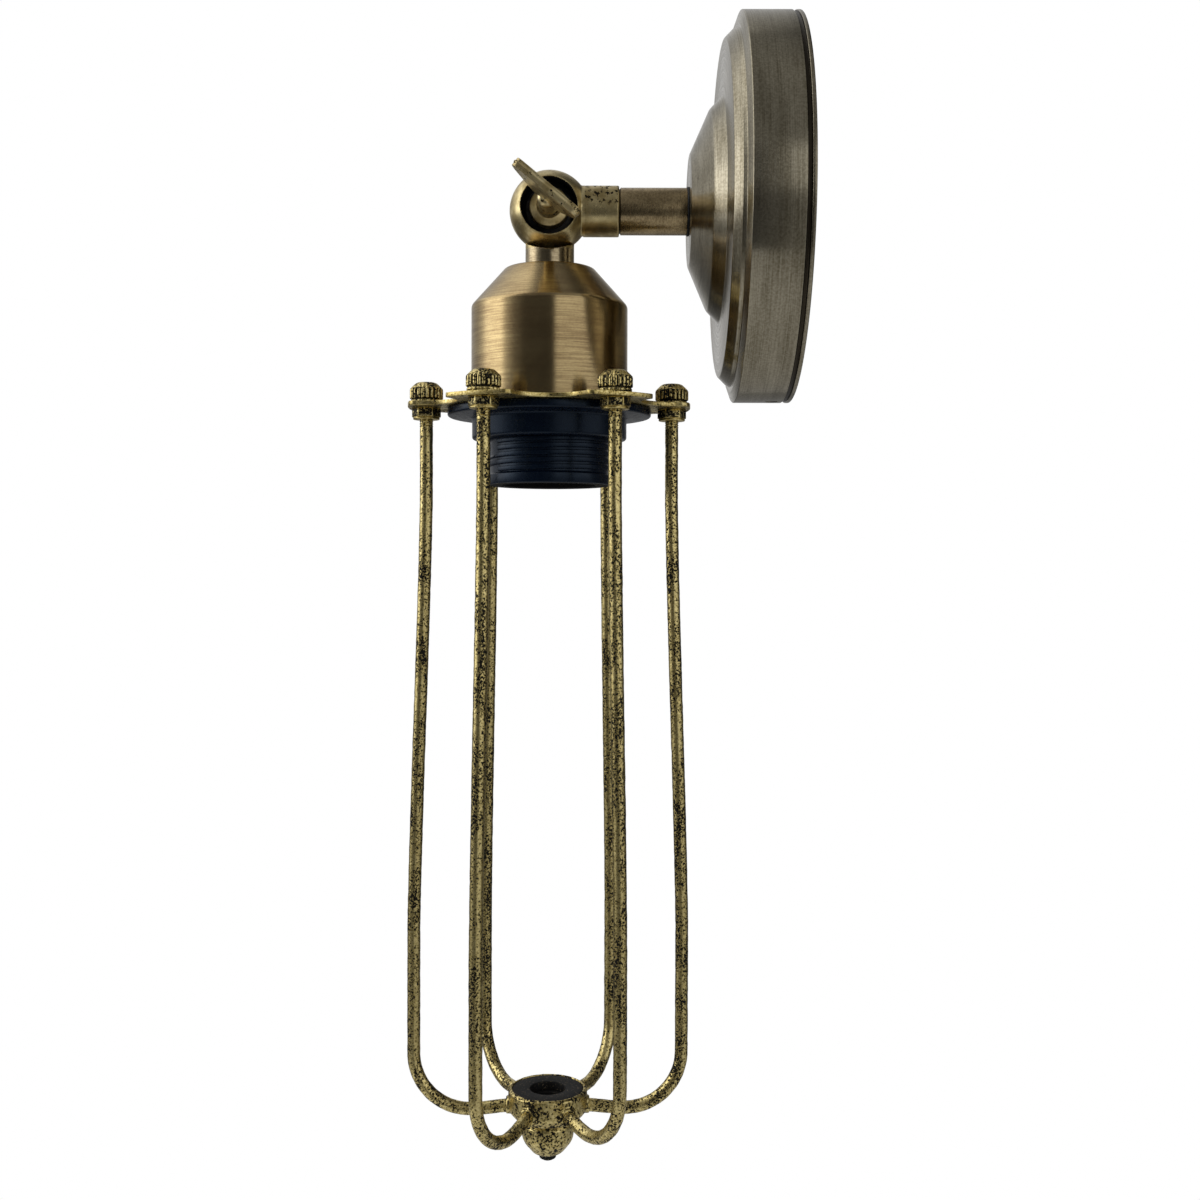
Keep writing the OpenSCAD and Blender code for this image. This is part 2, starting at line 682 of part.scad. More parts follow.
module hub() color(gilt) down() difference() {
  lathe([
    [0, hub_top, 0],
    [insert_d / 2 + 0.4, hub_top, 0],
    [hub_d / 2, hub_top + 1, 0.5],
    [hub_d / 2, hub_end - 1.4, 0.8],
    [hub_d / 2 - 1, hub_end, 0.4],
    [0, hub_end, 0]
  ]);
  translate([0, 0, hub_top - 1]) cylinder(d = hub_bore_d, h = hub_h + 2);
  translate([0, 0, hub_top - 1]) cylinder(d = insert_d, h = 2);
  for (k = [1 : wire_count]) rotate([0, 0, cage_turn + 360 / wire_count * (k - 1)])
    translate([0, 0, wire_drop]) rotate([-90, 0, 0]) cylinder(r = wire_r + thread_gap, h = hub_d);
}

module hub_insert() color(black) down() difference() {
  union() {
    translate([0, 0, hub_top + 0.4]) cylinder(r = insert_d / 2 - thread_gap, h = 0.6);
    translate([0, 0, hub_top + 0.5]) cylinder(r = insert_r, h = hub_h - 0.5);
  }
  translate([0, 0, hub_top - 1]) cylinder(d = insert_hole_d, h = hub_h / 2 + 1);
  translate([0, 0, hub_top]) cylinder(r = stem_d / 2 + thread_gap, h = hub_h + 1);
}

module finial() color(gilt) down() {
  translate([0, 0, hub_top + hub_h / 2 + 0.6]) cylinder(d = stem_d, h = hub_h / 2);
  lathe([
    [0, hub_end, 0],
    [finial_d / 2 - 1, hub_end, 0.4],
    [finial_d / 2, finial_wide - 1.5, 2],
    [finial_d / 2, finial_wide + 1, 4],
    [finial_d / 2 - 4.2, finial_end - 1, 3],
    [0, finial_end, 0]
  ]);
}

module finial_tip() color(black) down() lathe([
  [0, finial_end - 0.3 + half_gap * 2, 0],
  [tip_d / 2, finial_end - 0.3 + half_gap * 2, 0],
  [tip_d / 2, finial_end + tip_h - 0.6, 0.5],
  [0, finial_end + tip_h, 0]
]);

wall_bracket();
canopy_screws();
earth_screw();
terminal_block();
terminal_screws();
canopy();
arm_rod();
rod_washer();
rod_nut();
tube_ring();
arm_tube();
fixed_knuckle();
spring_washer();
swivel_knuckle();
wing_screw();
cup();
nipple();
nipple_nut();
holder_cap();
holder_skirt();
contact_core();
screw_shell();
centre_contact();
contact_screws();
shade_ring();
cage_plate();
hex_nuts();
cage_wire(1);  // cage_wire_1
cage_wire(2);  // cage_wire_2
cage_wire(3);  // cage_wire_3
cage_wire(4);  // cage_wire_4
cage_wire(5);  // cage_wire_5
cage_wire(6);  // cage_wire_6
thumb_nut(1);  // thumb_nut_1
thumb_nut(2);  // thumb_nut_2
thumb_nut(3);  // thumb_nut_3
thumb_nut(4);  // thumb_nut_4
thumb_nut(5);  // thumb_nut_5
thumb_nut(6);  // thumb_nut_6
hub();
hub_insert();
finial();
finial_tip();
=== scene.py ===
import json
from math import acos, atan2, ceil, cos, degrees, hypot, pi, radians, sin, sqrt, tan, tau
import bpy
from mathutils import Matrix, Vector
from types import SimpleNamespace as Sizes


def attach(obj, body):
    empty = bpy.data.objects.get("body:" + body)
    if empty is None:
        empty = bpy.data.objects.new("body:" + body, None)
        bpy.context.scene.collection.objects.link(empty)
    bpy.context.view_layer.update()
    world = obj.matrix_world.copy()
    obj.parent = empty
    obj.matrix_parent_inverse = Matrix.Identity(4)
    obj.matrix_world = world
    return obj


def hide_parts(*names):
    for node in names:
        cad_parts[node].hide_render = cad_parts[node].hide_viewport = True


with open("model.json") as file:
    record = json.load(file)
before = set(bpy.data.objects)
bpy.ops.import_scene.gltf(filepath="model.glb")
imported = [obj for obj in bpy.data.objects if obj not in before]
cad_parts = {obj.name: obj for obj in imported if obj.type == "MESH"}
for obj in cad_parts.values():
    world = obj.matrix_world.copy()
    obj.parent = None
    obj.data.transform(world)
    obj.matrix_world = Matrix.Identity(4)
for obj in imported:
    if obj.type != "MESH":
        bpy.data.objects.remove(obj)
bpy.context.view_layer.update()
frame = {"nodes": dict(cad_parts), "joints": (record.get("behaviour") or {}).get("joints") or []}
nodes = frame["nodes"]
print("frame loaded:", len(nodes), "nodes")

mm = 0.001
places = {joint["name"]: Vector(joint["pos_m"]) for joint in frame["joints"]}
pivot = places["head_tilt"]
firstStud = places["thumb_nut_1_turn"]
cageTurn = atan2(firstStud.x, pivot.y - firstStud.y)
# turns that lay a piece that was spun about Z along another axis
towardsRoom = (radians(90), 0, 0)
towardsWall = (radians(-90), 0, 0)
alongX = (0, radians(90), 0)
againstX = (0, radians(-90), 0)


camera = dict(
    place=(0.48911, -0.05935, -0.11507),
    right=(-0.0020, 1.0, 0.0029),
    up=(-0.0161, -0.0030, 0.9999),
    look=(-0.9999, -0.0019, -0.0161),
    lens=46.16,
    sensor=36,
)


def addCamera():
    bpy.ops.object.camera_add()
    eye = bpy.context.object
    eye.name = "camera"
    columns = [Vector(camera["right"]), Vector(camera["up"]), -Vector(camera["look"])]
    turn = Matrix([[column[row] for column in columns] for row in range(3)]).to_4x4()
    eye.matrix_world = Matrix.Translation(Vector(camera["place"])) @ turn
    eye.data.sensor_width = camera["sensor"]
    eye.data.sensor_fit = "HORIZONTAL"
    eye.data.lens = camera["lens"]
    eye.data.clip_start = 0.01
    bpy.context.scene.camera = eye


def primitive(add, **settings):
    # a new shape, with nothing else selected
    bpy.ops.object.select_all(action="DESELECT")
    add(**settings)
    return bpy.context.object


def onlyActive(piece):
    if bpy.context.mode != "OBJECT":
        bpy.ops.object.mode_set(mode="OBJECT")
    bpy.ops.object.select_all(action="DESELECT")
    piece.select_set(True)
    bpy.context.view_layer.objects.active = piece


def startEdit(piece, kind="VERT", action="DESELECT"):
    onlyActive(piece)
    bpy.ops.object.mode_set(mode="EDIT")
    bpy.ops.mesh.select_mode(type=kind)
    bpy.ops.mesh.select_all(action=action)


def endEdit():
    bpy.ops.object.mode_set(mode="OBJECT")


def pick(piece, kind, wanted):
    # selects vertices, edges or faces, and leaves the piece in edit mode
    startEdit(piece, kind)
    endEdit()
    parts = {"VERT": piece.data.vertices, "EDGE": piece.data.edges, "FACE": piece.data.polygons}[kind]
    for part in parts:
        part.select = wanted(part)
    bpy.ops.object.mode_set(mode="EDIT")


def drawIn(piece, wanted, share):
    # brings the vertices that are wanted nearer to the piece's axis
    pick(piece, "VERT", wanted)
    bpy.ops.transform.resize(value=(share, share, 1), center_override=(0, 0, 0))
    endEdit()


def faceOutwards():
    bpy.ops.mesh.select_all(action="SELECT")
    bpy.ops.mesh.normals_make_consistent(inside=False)


def modify(piece, kind, **settings):
    modifier = piece.modifiers.new(kind.lower(), kind)
    for key, value in settings.items():
        setattr(modifier, key, value)
    onlyActive(piece)
    bpy.ops.object.modifier_apply(modifier=modifier.name)


def settle(piece, location=(0, 0, 0), turn=(0, 0, 0)):
    # puts the piece at its place, and keeps the place in its mesh
    onlyActive(piece)
    piece.location = location
    piece.rotation_euler = turn
    bpy.ops.object.transform_apply(location=True, rotation=True, scale=True)


def joinPieces(pieces, name):
    bpy.ops.object.select_all(action="DESELECT")
    for piece in pieces:
        piece.select_set(True)
    bpy.context.view_layer.objects.active = pieces[0]
    bpy.ops.object.join()
    pieces[0].name = name
    return pieces[0]


def copyPiece(piece, name):
    onlyActive(piece)
    bpy.ops.object.duplicate()
    twin = bpy.context.object
    twin.name = name
    return twin


def cutRound(piece, vertices, radius, depth, place, turn=(0, 0, 0)):
    # takes a cylinder, measured in millimetres, out of the piece
    cutter = primitive(
        bpy.ops.mesh.primitive_cylinder_add, vertices=vertices, radius=radius * mm, depth=depth * mm,
        location=[part * mm for part in place], rotation=turn)
    modify(piece, "BOOLEAN", operation="DIFFERENCE", solver="EXACT", object=cutter)
    bpy.data.objects.remove(cutter)


def roundEdges(piece, width, segments, limit, **settings):
    modify(piece, "BEVEL", width=width * mm, segments=segments, limit_method="ANGLE",
           angle_limit=radians(limit), **settings)


def cleanShell(piece):
    startEdit(piece, action="SELECT")
    bpy.ops.mesh.remove_doubles(threshold=0.000002)
    bpy.ops.mesh.delete_loose()
    faceOutwards()
    endEdit()


def smoothBy(piece, limit=35):
    onlyActive(piece)
    bpy.ops.object.shade_smooth_by_angle(angle=radians(limit))


def softened(piece, grain, rounds):
    # fuses the joined solids into one skin with softly rounded edges
    modify(piece, "REMESH", mode="VOXEL", voxel_size=grain * mm)
    modify(piece, "SMOOTH", factor=0.5, iterations=rounds)
    onlyActive(piece)
    bpy.ops.object.shade_smooth()


def roundedCorner(before, corner, after, radius, steps):
    toBefore = (before - corner).normalized()
    toAfter = (after - corner).normalized()
    half = acos(max(-1, min(1, toBefore.dot(toAfter)))) / 2
    middle = corner + (toBefore + toAfter).normalized() * radius / sin(half)
    first = corner + toBefore * radius / tan(half) - middle
    last = corner + toAfter * radius / tan(half) - middle
    sweep = atan2(first.x * last.y - first.y * last.x, first.dot(last))
    return [middle + Matrix.Rotation(sweep * index / steps, 2) @ first for index in range(steps + 1)]


def profile(rows, steps=5):
    # rows are (radius, height, corner radius) in millimetres, round a closed profile in the XZ plane
    points = []
    for index, row in enumerate(rows):
        corner = Vector(row[:2])
        if len(row) == 2 or row[2] == 0:
            points.append(corner)
            continue
        before = Vector(rows[index - 1][:2])
        after = Vector(rows[(index + 1) % len(rows)][:2])
        points += roundedCorner(before, corner, after, row[2], steps)
    return [Vector((point.x * mm, 0, point.y * mm)) for point in points]


def drawnLine(name, points, closed=True):
    # one vertex is extruded from point to point
    piece = primitive(bpy.ops.mesh.primitive_plane_add, size=mm)
    piece.name = name
    settle(piece, points[0])
    startEdit(piece, action="SELECT")
    bpy.ops.mesh.merge(type="CENTER")
    for before, after in zip(points, points[1:] + (points[:1] if closed else [])):
        bpy.ops.mesh.extrude_vertices_move(TRANSFORM_OT_translate={"value": after - before})
    bpy.ops.mesh.select_all(action="SELECT")
    bpy.ops.mesh.remove_doubles(threshold=0.000001)
    endEdit()
    return piece


def spun(name, rows, steps=160, cornerSteps=5):
    # the closed profile is spun about Z
    piece = drawnLine(name, profile(rows, cornerSteps))
    startEdit(piece, action="SELECT")
    bpy.ops.mesh.spin(steps=steps, angle=tau, center=(0, 0, 0), axis=(0, 0, 1))
    endEdit()
    cleanShell(piece)
    smoothBy(piece)
    return piece


def turnedAbout(piece, angle):
    # turns a piece about the lamp's upright axis
    centre = Vector((pivot.x, pivot.y, 0))
    settle(piece, centre - Matrix.Rotation(angle, 3, "Z") @ centre, (0, 0, angle))


def dress(piece, *finishes):
    for material in finishes:
        piece.data.materials.append(material)


def paintFaces(piece, wanted, index=1):
    for face in piece.data.polygons:
        if wanted(face):
            face.material_index = index


def finishPiece(piece, body, replaced, slot, *finishes):
    dress(piece, *finishes)
    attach(piece, body)
    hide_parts(replaced)


def fill(tree, node, sockets):
    # another node's socket is linked, and a number or a colour is set
    for key, value in sockets.items():
        socket = node.inputs[key]
        if isinstance(value, bpy.types.NodeSocket):
            tree.links.new(value, socket)
        elif socket.type == "RGBA":
            socket.default_value = (*value, 1)
        else:
            socket.default_value = value


def addNode(tree, kind, sockets=None, **settings):
    node = tree.nodes.new("ShaderNode" + kind)
    for key, value in settings.items():
        setattr(node, key, value)
    fill(tree, node, sockets or {})
    return node


def mathNode(tree, operation, *values):
    return addNode(tree, "Math", dict(enumerate(values)), operation=operation).outputs[0]


def vectorNode(tree, operation, *values):
    return addNode(tree, "VectorMath", dict(enumerate(values)), operation=operation).outputs["Vector"]


def lengthOf(tree, vector):
    return addNode(tree, "VectorMath", {0: vector}, operation="LENGTH").outputs["Value"]


def rangeNode(tree, value, low, high, toLow=0.0, toHigh=1.0, curve="SMOOTHSTEP"):
    sockets = {"Value": value, "From Min": low, "From Max": high, "To Min": toLow, "To Max": toHigh}
    return addNode(tree, "MapRange", sockets, interpolation_type=curve).outputs["Result"]


def mixColor(tree, amount, first, second):
    return addNode(tree, "Mix", {0: amount, 6: first, 7: second}, data_type="RGBA").outputs[2]


def noiseNode(tree, vector, scale, detail=2.0, roughness=0.5):
    sockets = {"Vector": vector, "Scale": scale, "Detail": detail, "Roughness": roughness}
    return addNode(tree, "TexNoise", sockets).outputs["Fac"]


def bumpNode(tree, height, distance):
    return addNode(tree, "Bump", {"Height": height, "Distance": distance, "Strength": 1.0}).outputs["Normal"]


def newGroup(name, values, results):
    group = bpy.data.node_groups.new(name, "ShaderNodeTree")
    group.interface.new_socket(name="Vector", in_out="INPUT", socket_type="NodeSocketVector")
    for label, value in values.items():
        socket = group.interface.new_socket(name=label, in_out="INPUT", socket_type="NodeSocketFloat")
        socket.default_value = value
    for label in results:
        group.interface.new_socket(name=label, in_out="OUTPUT", socket_type="NodeSocketFloat")
    return group, group.nodes.new("NodeGroupInput").outputs, group.nodes.new("NodeGroupOutput")


def makeLineGroup():
    # fine lines that run round an axis, as a lathe and an abrasive pad leave them
    group, given, out = newGroup("turnedLines", {"Lines per metre": 2600.0}, ("Lines", "Bands"))
    parts = addNode(group, "SeparateXYZ", {0: given["Vector"]}).outputs
    flat = addNode(group, "CombineXYZ", {"X": parts["X"], "Y": parts["Y"]}).outputs[0]
    slope = mathNode(group, "MULTIPLY", parts["Z"], 1.37)
    along = mathNode(group, "SUBTRACT", lengthOf(group, flat), slope)
    around = vectorNode(group, "NORMALIZE", flat)
    reach = addNode(group, "VectorMath", {0: around, "Scale": 1.6}, operation="SCALE").outputs[0]
    split = addNode(group, "SeparateXYZ", {0: reach}).outputs
    for label, share, detail in (("Lines", 1.0, 5.0), ("Bands", 0.06, 3.0)):
        height = mathNode(group, "MULTIPLY", mathNode(group, "MULTIPLY", along, given["Lines per metre"]), share)
        spread = addNode(group, "CombineXYZ", {"X": split["X"], "Y": split["Y"], "Z": height}).outputs[0]
        fill(group, out, {label: noiseNode(group, spread, 1.0, detail, 0.65)})
    return group


def makeMottleGroup():
    # black paint left in the hollows of a dry-brushed casting
    group, given, out = newGroup("blackMottle", {"Scale": 1500.0, "Gold": 0.5}, ("Gold", "Relief"))
    vector, scale = given["Vector"], given["Scale"]
    warp = addNode(group, "TexNoise", {"Vector": vector, "Scale": mathNode(group, "MULTIPLY", scale, 0.6)})
    pushed = vectorNode(group, "MULTIPLY_ADD", warp.outputs["Color"], (0.0011, 0.0011, 0.0011), vector)
    clumps = noiseNode(group, vectorNode(group, "MULTIPLY", vector, (1, 1, 0.25)), 300.0, 1.0)
    patches = noiseNode(group, vector, mathNode(group, "MULTIPLY", scale, 0.16))
    grain = noiseNode(group, pushed, scale, roughness=0.55)
    relief = mathNode(group, "MULTIPLY", clumps, 0.28)
    for layer, share in ((patches, 0.08), (grain, 0.64)):
        relief = mathNode(group, "MULTIPLY_ADD", layer, share, relief)
    level = mathNode(group, "SUBTRACT", 0.72, mathNode(group, "MULTIPLY", given["Gold"], 0.44))
    gold = rangeNode(group, relief, level, mathNode(group, "ADD", level, 0.02))
    fill(group, out, {"Gold": gold, "Relief": relief})
    return group


def makePitGroup():
    # small black pits of a sand casting
    group, given, out = newGroup("castingPits", {"Scale": 650.0, "Amount": 0.3}, ("Pits", "Tone"))
    vector, scale = given["Vector"], given["Scale"]
    dots = noiseNode(group, vector, scale, 3.0, 0.7)
    level = mathNode(group, "SUBTRACT", 0.86, mathNode(group, "MULTIPLY", given["Amount"], 0.5))
    pits = rangeNode(group, dots, level, mathNode(group, "ADD", level, 0.04))
    tone = noiseNode(group, vector, mathNode(group, "MULTIPLY", scale, 0.35), 5.0)
    fill(group, out, {"Pits": pits, "Tone": tone})
    return group


lineGroup = makeLineGroup()
mottleGroup = makeMottleGroup()
pitGroup = makePitGroup()


def newMaterial(name, metallic, roughness):
    material = bpy.data.materials.new(name)
    material.use_nodes = True
    tree = material.node_tree
    shader = tree.nodes["Principled BSDF"]
    fill(tree, shader, {"Metallic": metallic, "Roughness": roughness})
    return material, tree, shader


def objectVector(tree, centre=(0, 0, 0), turn=(0, 0, 0)):
    # object coordinates with the pattern's centre at zero and its axis along Z
    place = addNode(tree, "TexCoord").outputs["Object"]
    shifted = vectorNode(tree, "SUBTRACT", place, centre)
    return addNode(tree, "Mapping", {"Vector": shifted, "Rotation": turn}).outputs[0]


def placeGroup(tree, group, **values):
    return addNode(tree, "Group", values, node_tree=group).outputs


armAxis = dict(centre=(0, 0, 0), turn=(radians(-90), 0, 0), tangent="Y")
headAxis = dict(centre=(pivot.x, pivot.y, 0), turn=(0, 0, 0), tangent="Z")


def turnedBrass(name, dark, light, roughness, axis, brushed, speckle=0.15, perMetre=2600.0):
    material, tree, shader = newMaterial(name, 1.0, roughness)
    vector = objectVector(tree, axis["centre"], axis["turn"])
    group = placeGroup(tree, lineGroup, **{"Vector": vector, "Lines per metre": perMetre})
    lines = group["Lines"]
    streak = rangeNode(tree, lines, 0.37, 0.63)
    band = rangeNode(tree, group["Bands"], 0.35, 0.65)
    grain = rangeNode(tree, noiseNode(tree, vector, 1500.0, 4.0), 0.38, 0.62)
    tone = mathNode(tree, "MULTIPLY", grain, speckle)
    for part, share in ((streak, 0.66 - speckle), (band, 0.34)):
        tone = mathNode(tree, "MULTIPLY_ADD", part, share, tone)
    tangent = addNode(tree, "Tangent", direction_type="RADIAL", axis=axis["tangent"])
    fill(tree, shader, {
        "Base Color": mixColor(tree, tone, dark, light),
        "Roughness": rangeNode(tree, lines, 0.3, 0.7, roughness + 0.05, roughness - 0.05),
        "Normal": bumpNode(tree, lines, 0.00001),
        "Anisotropic": brushed, "Anisotropic Rotation": 0.25, "Tangent": tangent.outputs[0],
    })
    return material


def castBrass(name, pits, scale, tones, roughness=0.32, onTop=False):
    material, tree, shader = newMaterial(name, 1.0, roughness)
    vector = objectVector(tree)
    group = placeGroup(tree, pitGroup, Vector=vector, Scale=scale, Amount=pits)
    holes = group["Pits"]
    cloud = group["Tone"]
    if onTop:
        # the sand has marked only the upper half
        height = addNode(tree, "SeparateXYZ", {0: vector}).outputs["Z"]
        holes = mathNode(tree, "MULTIPLY", holes, rangeNode(tree, height, -0.001, 0.002))
    yellow = mixColor(tree, rangeNode(tree, cloud, 0.35, 0.65), *tones)
    rough = rangeNode(tree, cloud, 0.3, 0.7, roughness + 0.06, roughness - 0.05)
    relief = mathNode(tree, "SUBTRACT", mathNode(tree, "MULTIPLY", cloud, 0.35), holes)
    fill(tree, shader, {
        "Base Color": mixColor(tree, holes, yellow, (0.02, 0.015, 0.009)),
        "Roughness": mathNode(tree, "MULTIPLY_ADD", holes, 0.35, rough),
        "Normal": bumpNode(tree, relief, 0.00007),
    })
    return material


def giltPaint(name, gold, scale=1500.0):
    material, tree, shader = newMaterial(name, 1.0, 0.35)
    group = placeGroup(tree, mottleGroup, Vector=objectVector(tree), Scale=scale, Gold=gold)
    mask = group["Gold"]
    shade = rangeNode(tree, group["Relief"], 0.42, 0.66)
    goldTone = mixColor(tree, shade, (0.50, 0.385, 0.13), (0.88, 0.74, 0.35))
    height = mathNode(tree, "ADD", mathNode(tree, "MULTIPLY", mask, 0.5), group["Relief"])
    fill(tree, shader, {
        "Base Color": mixColor(tree, mask, (0.006, 0.005, 0.003), goldTone),
        "Metallic": mask,
        "Roughness": rangeNode(tree, mask, 0.0, 1.0, 0.5, 0.30, "LINEAR"),
        "Normal": bumpNode(tree, height, 0.00007),
        "Specular IOR Level": 0.12,
    })
    return material


def mouldedPlastic(name, color, roughness, grain, shine=0.5, tint=(1, 1, 1)):
    material, tree, shader = newMaterial(name, 0.0, roughness)
    noise = noiseNode(tree, objectVector(tree), 700.0, 4.0)
    darker = tuple(channel * 0.75 for channel in color)
    fill(tree, shader, {
        "Base Color": mixColor(tree, noise, darker, color),
        "Roughness": rangeNode(tree, noise, 0.3, 0.7, roughness - 0.04, roughness + 0.06),
        "Normal": bumpNode(tree, noise, grain),
        "Specular IOR Level": shine, "Specular Tint": tint,
    })
    return material


def platedMetal(name, dark, light, roughness):
    material, tree, shader = newMaterial(name, 1.0, roughness)
    noise = noiseNode(tree, objectVector(tree), 420.0, 5.0)
    fill(tree, shader, {
        "Base Color": mixColor(tree, rangeNode(tree, noise, 0.35, 0.65), dark, light),
        "Roughness": rangeNode(tree, noise, 0.3, 0.7, roughness + 0.08, roughness - 0.06),
        "Normal": bumpNode(tree, noise, 0.00001),
    })
    return material


def dustyPaint(name, black, dust):
    material, tree, shader = newMaterial(name, 0.0, 0.65)
    group = placeGroup(tree, pitGroup, Vector=objectVector(tree), Scale=1500.0, Amount=0.5)
    fill(tree, shader, {
        "Base Color": mixColor(tree, group["Pits"], black, dust),
        "Normal": bumpNode(tree, group["Tone"], 0.00005),
        "Specular IOR Level": 0.25,
    })
    return material


canopyBrass = turnedBrass("canopyBrass", (0.165, 0.14, 0.09), (0.43, 0.39, 0.295), 0.21, armAxis, 0.75, 0.3)
# a dark brass that paints shade: in the groove round the canopy's rim, and on the tube's narrowed end where it
# meets the collar
paintedShadeBrass = turnedBrass("paintedShadeBrass", (0.025, 0.02, 0.014), (0.07, 0.058, 0.04), 0.4, armAxis, 0.5)
tubeBrass = turnedBrass("tubeBrass", (0.22, 0.16, 0.085), (0.50, 0.385, 0.215), 0.26, armAxis, 0.3, 0.4)
cupBrass = turnedBrass("cupBrass", (0.29, 0.20, 0.10), (0.53, 0.405, 0.205), 0.22, headAxis, 0.75,
                       perMetre=1900.0)
neckBrass = turnedBrass("neckBrass", (0.26, 0.20, 0.12), (0.52, 0.43, 0.27), 0.22, headAxis, 0.3, 0.3)
knuckleBrass = castBrass("knuckleBrass", 0.24, 800.0, ((0.40, 0.31, 0.14), (0.76, 0.63, 0.33)))
collarBrass = castBrass("collarBrass", 0.64, 560.0, ((0.36, 0.275, 0.12), (0.67, 0.55, 0.285)), onTop=True)
wingBrass = castBrass("wingBrass", 0.50, 620.0, ((0.46, 0.355, 0.16), (0.84, 0.70, 0.38)), 0.34)
dishBrass = castBrass("dishBrass", 0.3, 700.0, ((0.44, 0.33, 0.14), (0.84, 0.67, 0.34)), 0.42)
wireGilt = giltPaint("wireGilt", 0.58, 1600.0)
plateGilt = giltPaint("plateGilt", 0.60)
edgeGilt = giltPaint("edgeGilt", 0.76)
nutGilt = giltPaint("nutGilt", 0.42)
grooveGilt = giltPaint("grooveGilt", 0.30)
knobGilt = giltPaint("knobGilt", 0.60)
hubGilt = giltPaint("hubGilt", 0.60, 1250.0)
navyPlastic = mouldedPlastic("navyPlastic", (0.0015, 0.004, 0.0105), 0.27, 0.000008, 0.30, (0.58, 0.76, 1.0))
mattBlack = mouldedPlastic("mattBlack", (0.008, 0.010, 0.013), 0.6, 0.00003)
shadowBlack = mouldedPlastic("shadowBlack", (0.003, 0.003, 0.003), 0.75, 0.00002, 0.15)
ivory = mouldedPlastic("ivoryCeramic", (0.72, 0.68, 0.58), 0.35, 0.000006)
dustyBlack = dustyPaint("dustyBlack", (0.004, 0.004, 0.004), (0.12, 0.095, 0.06))
# near black steel for the spring washer, as painted shade of the knuckle's recess it sits in
recessShadeSteel = platedMetal("recessShadeSteel", (0.03, 0.03, 0.03), (0.06, 0.06, 0.06), 0.5)
zincSteel = platedMetal("zincSteel", (0.48, 0.48, 0.47), (0.68, 0.68, 0.66), 0.32)
bareBrass = platedMetal("bareBrass", (0.62, 0.47, 0.2), (0.80, 0.64, 0.32), 0.24)
print("materials made")


canopy = dict(
    rim=60.0, sideDepth=17.8, lip=1.2, groove=0.8, grooveWide=1.5, step=54.6, stepOut=19.7,
    bevel=56.6, valleyOut=18.9, faceEdge=51.9, faceOut=22.6, faceRound=1.0, domeFoot=35.0,
    domeFootOut=22.8, shoulder=31.0, shoulderOut=26.6, disc=17.5, discOut=32.6, sheet=1.2,
    hole=5.45, steps=256, screwOut=6.0, screwHole=2.05,
)


def makeCanopy():
    c = Sizes(**canopy)
    wall = c.sheet
    grooveTop = c.lip + c.grooveWide
    grooveFloor = c.rim - c.groove
    outer = [
        (c.hole, c.discOut), (c.disc, c.discOut, 1.4), (c.shoulder, c.shoulderOut, 3.2),
        (c.domeFoot, c.domeFootOut, 1.4), (c.faceEdge, c.faceOut, c.faceRound),
        (c.step - 0.2, c.stepOut + 0.4, 0.5), (c.step + 0.4, c.valleyOut, 0.3),
        (c.bevel, c.valleyOut + 0.1, 0.4), (c.rim, c.sideDepth, 0.4), (c.rim, grooveTop, 0.15),
        (grooveFloor, grooveTop - 0.3, 0.2), (grooveFloor, c.lip + 0.2, 0.2), (c.rim, c.lip, 0.3),
        (c.rim, 0, 0.35),
    ]
    inner = [
        (c.rim - wall, 0, 0.2), (c.rim - wall, c.sideDepth - wall, 0.5),
        (c.step - wall, c.stepOut - wall, 0.4), (c.faceEdge - wall / 2, c.faceOut - wall, 1),
        (c.domeFoot - wall, c.domeFootOut - wall, 1.4),
        (c.shoulder - wall, c.shoulderOut - wall, 2.5), (c.disc - wall, c.discOut - wall, 1.2),
        (c.hole, c.discOut - wall),
    ]
    piece = spun("canopyShell", outer + inner, c.steps)
    cutRound(piece, 32, c.screwHole, 2.2 * c.rim, (0, 0, c.screwOut), towardsRoom)
    settle(piece, turn=towardsRoom)
    smoothBy(piece)
    finishPiece(piece, "wall_side", "canopy", "antique_brass", canopyBrass, paintedShadeBrass)

    # the groove round the rim is painted dark as shade
    def inGroove(face):
        out = -face.center.y / mm
        away = hypot(face.center.x, face.center.z) / mm
        return c.lip + 0.1 < out < grooveTop and c.rim - 1 < away < c.rim - 0.1

    paintFaces(piece, inGroove)


arm = dict(tube=7.35, wall=2.0, start=33.2, end=54.6, ring=7.65, rod=5.05, joint=0.45)


def makeArm():
    a = Sizes(**arm)
    bore = a.tube - a.wall
    neck = a.tube - a.joint
    tube = spun("armTube", [
        (bore, a.start), (a.tube, a.start, 0.2), (a.tube, a.end - a.joint, 0.12),
        (neck, a.end - a.joint * 0.6, 0.1), (neck, a.end), (bore, a.end),
    ], 96)
    settle(tube, turn=towardsRoom)
    finishPiece(tube, "wall_side", "arm_tube", "antique_brass", tubeBrass, paintedShadeBrass)
    # the tube's narrowed end, where it meets the knuckle's collar, is painted dark as shade between the parts
    paintFaces(tube, lambda face: face.center.y < (a.joint * 0.8 - a.end) * mm)
    ring = spun("tubeRing", [
        (a.rod, canopy["discOut"]), (a.ring, canopy["discOut"], 0.2), (a.ring, a.start, 0.2),
        (a.rod, a.start),
    ], 96, 3)
    settle(ring, turn=towardsRoom)
    finishPiece(ring, "wall_side", "tube_ring", "black_trim", mattBlack)


knuckle = dict(
    ball=12.75, split=0.15, relief=13.05, collar=7.95, collarEnd=21.9, neck=7.7,
    neckEnd=18.3, recess=8.85, recessFloor=1.95, screwHole=2.9, rodHole=5.05, channel=3.0,
    grain=0.22, rounds=4, rimRound=0.45, ballSteps=28,
    # where collar and neck start inside the ball, and how far the rod and the nipple reach into them
    inBall=9.2, rodSeat=15.4, nippleSeat=13.0,
    # the screw's thread in the turning half, with the hollow round its boss
    thread=2.55, threadBoss=4.3, threadEnd=9.0, hollow=11.0, hollowFloor=3.15,
)


